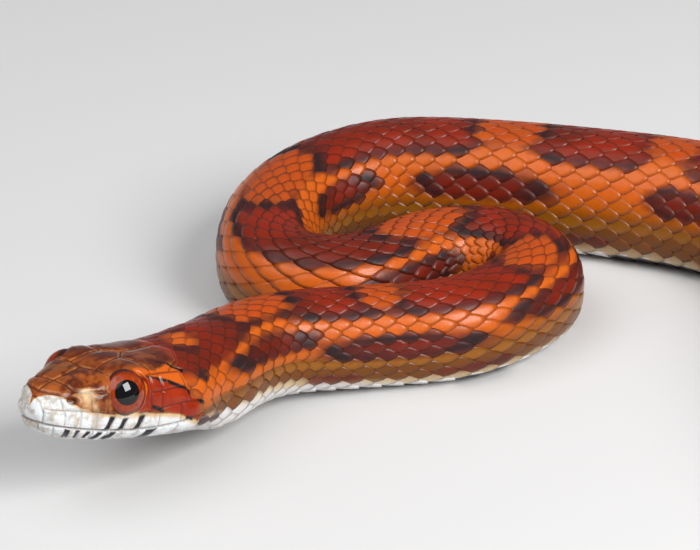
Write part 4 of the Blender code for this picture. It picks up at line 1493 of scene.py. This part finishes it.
@dataclass
class Belly:
    """The wide plates under the body and the paired ones under the tail."""

    coat: Coat
    # Distances of the first and the last plate, and where the paired ones start
    first: float = -2.6
    last: float = 732.0
    vent: float = 616.0
    pieces: tuple[float, ...] = (-10.0, 160.0, 330.0, 500.0, 740.0)
    # Length against the room of a plate, and how steeply it stands
    long_share: float = 0.62
    slope: float = 0.05
    # How deep a plate sits in the skin, the thickness of its edge and its dome
    sunk: float = 0.15
    thick: float = 0.10
    dome: float = 0.06
    # How far up the flank a plate reaches
    edge: float = 0.985
    # Share of the plates' quarters that are black, by distance
    black_share: Table = ((0, 0.0), (40, 0.15), (120, 0.42), (740, 0.5))
    seed: int = 3

    def template(self) -> tuple[Array, Array]:
        """Model one flat plate, closed all round, and read it."""
        obj = primitive("primitive_grid_add", "plate", x_subdivisions=4, y_subdivisions=22,
                        size=2.0)
        step = obj.modifiers.new("thick", "SOLIDIFY")
        step.thickness = 0.5
        step.offset = -1.0
        bpy.ops.object.modifier_apply(modifier=step.name)
        return read_mesh(obj)

    def build(self, material: bpy.types.Material) -> list[bpy.types.Object]:
        """Lay the belly plates, one piece for each long stretch."""
        template, triangles = self.template()
        along = self.coat.row_places()
        along = along[(along > self.first) & (along < self.last)]
        chance = np.random.default_rng(self.seed)
        built = []
        for k, (a, b) in enumerate(zip(self.pieces, self.pieces[1:])):
            here = along[(along >= a) & (along < b)]
            spots = [(s, 0.0, 1.0) for s in here[here < self.vent]]
            spots += [(s + 0.25 * hand * self.coat.pitch(s), 0.5 * hand, 0.5)
                      for s in here[here >= self.vent] for hand in (1, -1)]
            points, masks, unrolled = self._laid(template, np.array(spots), (a, b), chance)
            built.append(joined_copies(f"belly_{k + 1}", points, triangles, masks, unrolled,
                                       material))
        return built

    def _laid(self, template: Array, spots: Array, span: tuple[float, float],
              chance: np.random.Generator) -> tuple[Array, dict[str, Array], Array]:
        """Lay copies of the plate under one stretch of the body.

        Args:
            template: Points of one plate.
            spots: Distance, middle and half-width of each plate.
            span: Distances at which the stretch begins and ends.
            chance: Source of the random draws.

        Returns:
            Points, masks, and each plate's small patch on the unrolled skin.
        """
        t, v, w = template.T
        middle, centre, half = spots.T[:, :, None]
        count = len(spots)
        pitch = self.coat.pitch(middle)
        across = centre + v * half
        long = pitch * self.long_share * (1.0 - 0.22 * np.abs(v) ** 4)
        along = middle + t * long + 0.25 * pitch * (1 - v**2) * 0.5
        size = np.minimum(1.0, pitch / 2.4)
        under = w < -0.25
        height = (-self.sunk + self.slope * t * pitch - self.thick * under) * size
        height = height + self.dome * (1 - t**2) * size * (w > -0.25)
        bottom = 1.0 / self.coat.form.belly_edge
        side = bottom - np.abs(across) * (bottom - self.edge)
        side = np.where(across >= 0, side, -side)
        points = self.coat.form.lay(along.ravel(), side.ravel(), height.ravel())
        points[:, 2] = np.maximum(points[:, 2], 0.0)
        quarter = (across + 1.0) * 2
        cell = np.clip(quarter.astype(int), 0, 3)
        checks = chance.random((count // 2 + 2, 4))[np.arange(count)[:, None] // 2, cell]
        inner = np.abs(quarter % 1.0 - 0.5)
        # The rim value darkens the front and back ends of each plate as painted shade
        masks = {"dark": np.zeros_like(across),
                 "black": (checks < level(self.black_share, middle)) * rise(0.5, 0.42, inner),
                 "oval": np.zeros_like(across),
                 "side": np.full_like(across, 1.25),
                 "tone": np.repeat(chance.uniform(-1.0, -0.2, (count, 1)), len(t), axis=1),
                 "rim": np.tile(rise(0.8, 1.0, np.abs(t)) * 0.5, (count, 1))}
        reached = (middle - span[0]) / (span[1] - span[0]) + t * 0.0015
        return points, masks, np.stack([0.004 + 0.99 * reached, 0.5 + across * 0.45], axis=-1)


@dataclass(frozen=True)
class Lamp:
    """One soft, square-cornered light: its name, place, size and power."""

    name: str
    place: tuple[float, float, float]
    size: tuple[float, float]
    power: float


@dataclass
class Studio:
    """Pale floor, soft light and the camera at the photo's angle."""

    # Middle of the photo's view, and the camera's distance and degrees above the floor
    target: tuple[float, float, float] = (-0.099953, 0.011658, 0.0)
    distance: float = 0.315
    elevation: float = 26.0
    lens: float = 154.29
    floor: Colour = (0.62, 0.615, 0.61)
    air: Colour = (0.90, 0.93, 1.0)
    air_power: float = 0.20
    lamps: tuple[Lamp, ...] = (
        Lamp("window", (0.135, -0.215, 0.250), (0.185, 0.215), 1.76),
        Lamp("soft_left", (-0.42, -0.16, 0.42), (0.45, 0.45), 0.9),
    )
    # Wide, even light from above: its power, its breadth and its tilt in degrees
    sky_power: float = 1.1
    sky_wide: float = 70.0
    sky_tilt: tuple[float, float] = (14.0, -16.0)

    def build(self) -> None:
        """Set the floor, the lights and the camera."""
        floor = primitive("primitive_plane_add", "floor", size=12.0, location=(0.0, 0.0, -0.0001))
        paint = Paint("pale_floor")
        floor.data.materials.append(paint.finish(base_color=self.floor, roughness=0.85))
        self._world()
        for lamp in self.lamps:
            self._light(lamp)
        self._sky_light()
        bpy.context.scene.view_settings.view_transform = "Standard"
        self._camera()

    @staticmethod
    def _placed(name: str, data: bpy.types.ID, place: tuple, turn: tuple) -> bpy.types.Object:
        """Put a light or the camera in the scene, turned by radians."""
        obj = bpy.data.objects.new(name, data)
        bpy.context.scene.collection.objects.link(obj)
        obj.location, obj.rotation_euler = place, turn
        return obj

    def _world(self) -> None:
        """Light everything softly from all round."""
        world = bpy.data.worlds.new("studio")
        bpy.context.scene.world = world
        world.use_nodes = True
        shade = world.node_tree.nodes["Background"]
        shade.inputs["Color"].default_value = (*self.air, 1.0)
        shade.inputs["Strength"].default_value = self.air_power

    def _light(self, lamp: Lamp) -> None:
        """Hang one soft light that faces the snake."""
        light = bpy.data.lights.new(lamp.name, "AREA")
        light.shape = "RECTANGLE"
        light.size, light.size_y = lamp.size
        light.energy = lamp.power
        x, y, z = np.array(self.target) - np.array(lamp.place)
        turn = (math.atan2(math.hypot(x, y), -z), 0.0, math.atan2(y, x) - math.pi / 2)
        self._placed(lamp.name, light, lamp.place, turn)

    def _sky_light(self) -> None:
        """Hang one wide, even light over the whole floor."""
        light = bpy.data.lights.new("soft_above", "SUN")
        light.energy = self.sky_power
        light.angle = math.radians(self.sky_wide)
        turn = (*(math.radians(v) for v in self.sky_tilt), 0.0)
        self._placed("soft_above", light, (0.0, 0.0, 0.0), turn)

    def _camera(self) -> None:
        """Set the camera that has the photo's framing."""
        lens = bpy.data.cameras.new("camera")
        lens.lens = self.lens
        lens.sensor_width = 36.0
        lens.clip_start = 0.01
        tilt = math.radians(self.elevation)
        x, y, z = self.target
        place = (x, y - self.distance * math.cos(tilt), z + self.distance * math.sin(tilt))
        turn = (math.pi / 2 - tilt, 0.0, 0.0)
        bpy.context.scene.camera = self._placed("camera", lens, place, turn)


def settle(obj: bpy.types.Object, slot: Slot, *nodes: str) -> None:
    """Fasten a finished piece to the model and hide the solids it stands for."""
    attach(obj, "root")
    if nodes:
        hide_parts(*nodes)
    LOG.info("%s: %d faces", obj.name, len(obj.data.polygons))


def main() -> None:
    """Build the looks piece by piece."""
    logging.basicConfig(level=logging.INFO, format="%(message)s")
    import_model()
    form = SnakeForm()
    markings = Markings()
    head = Head(form, markings)
    settle(head.build(), Slot.SKIN, "head", "lower_jaw")
    iris = EyeFinish().dressed("eye_iris")
    for name, hand, node in (("eyeball_left", 1, "eye_left"), ("eyeball_right", -1, "eye_right")):
        settle(Eye(form).build(name, hand, iris), Slot.EYE, node)
    finish = SkinFinish()
    flesh = ["neck"] + [f"torso_{k}" for k in range(1, 9)] + ["tail_base", "tail_mid", "tail_tip"]
    settle(Skin(form, markings).build(finish.dressed("skin_between_scales", deep=True)),
           Slot.SKIN, *flesh)
    coat = Coat(form, markings, head.plates)
    scale_paint = finish.dressed("scales")
    for piece in coat.build(scale_paint):
        settle(piece, Slot.SKIN)
    for piece in Belly(coat).build(scale_paint):
        settle(piece, Slot.LIP)
    Studio().build()


if __name__ == "__main__":
    main()
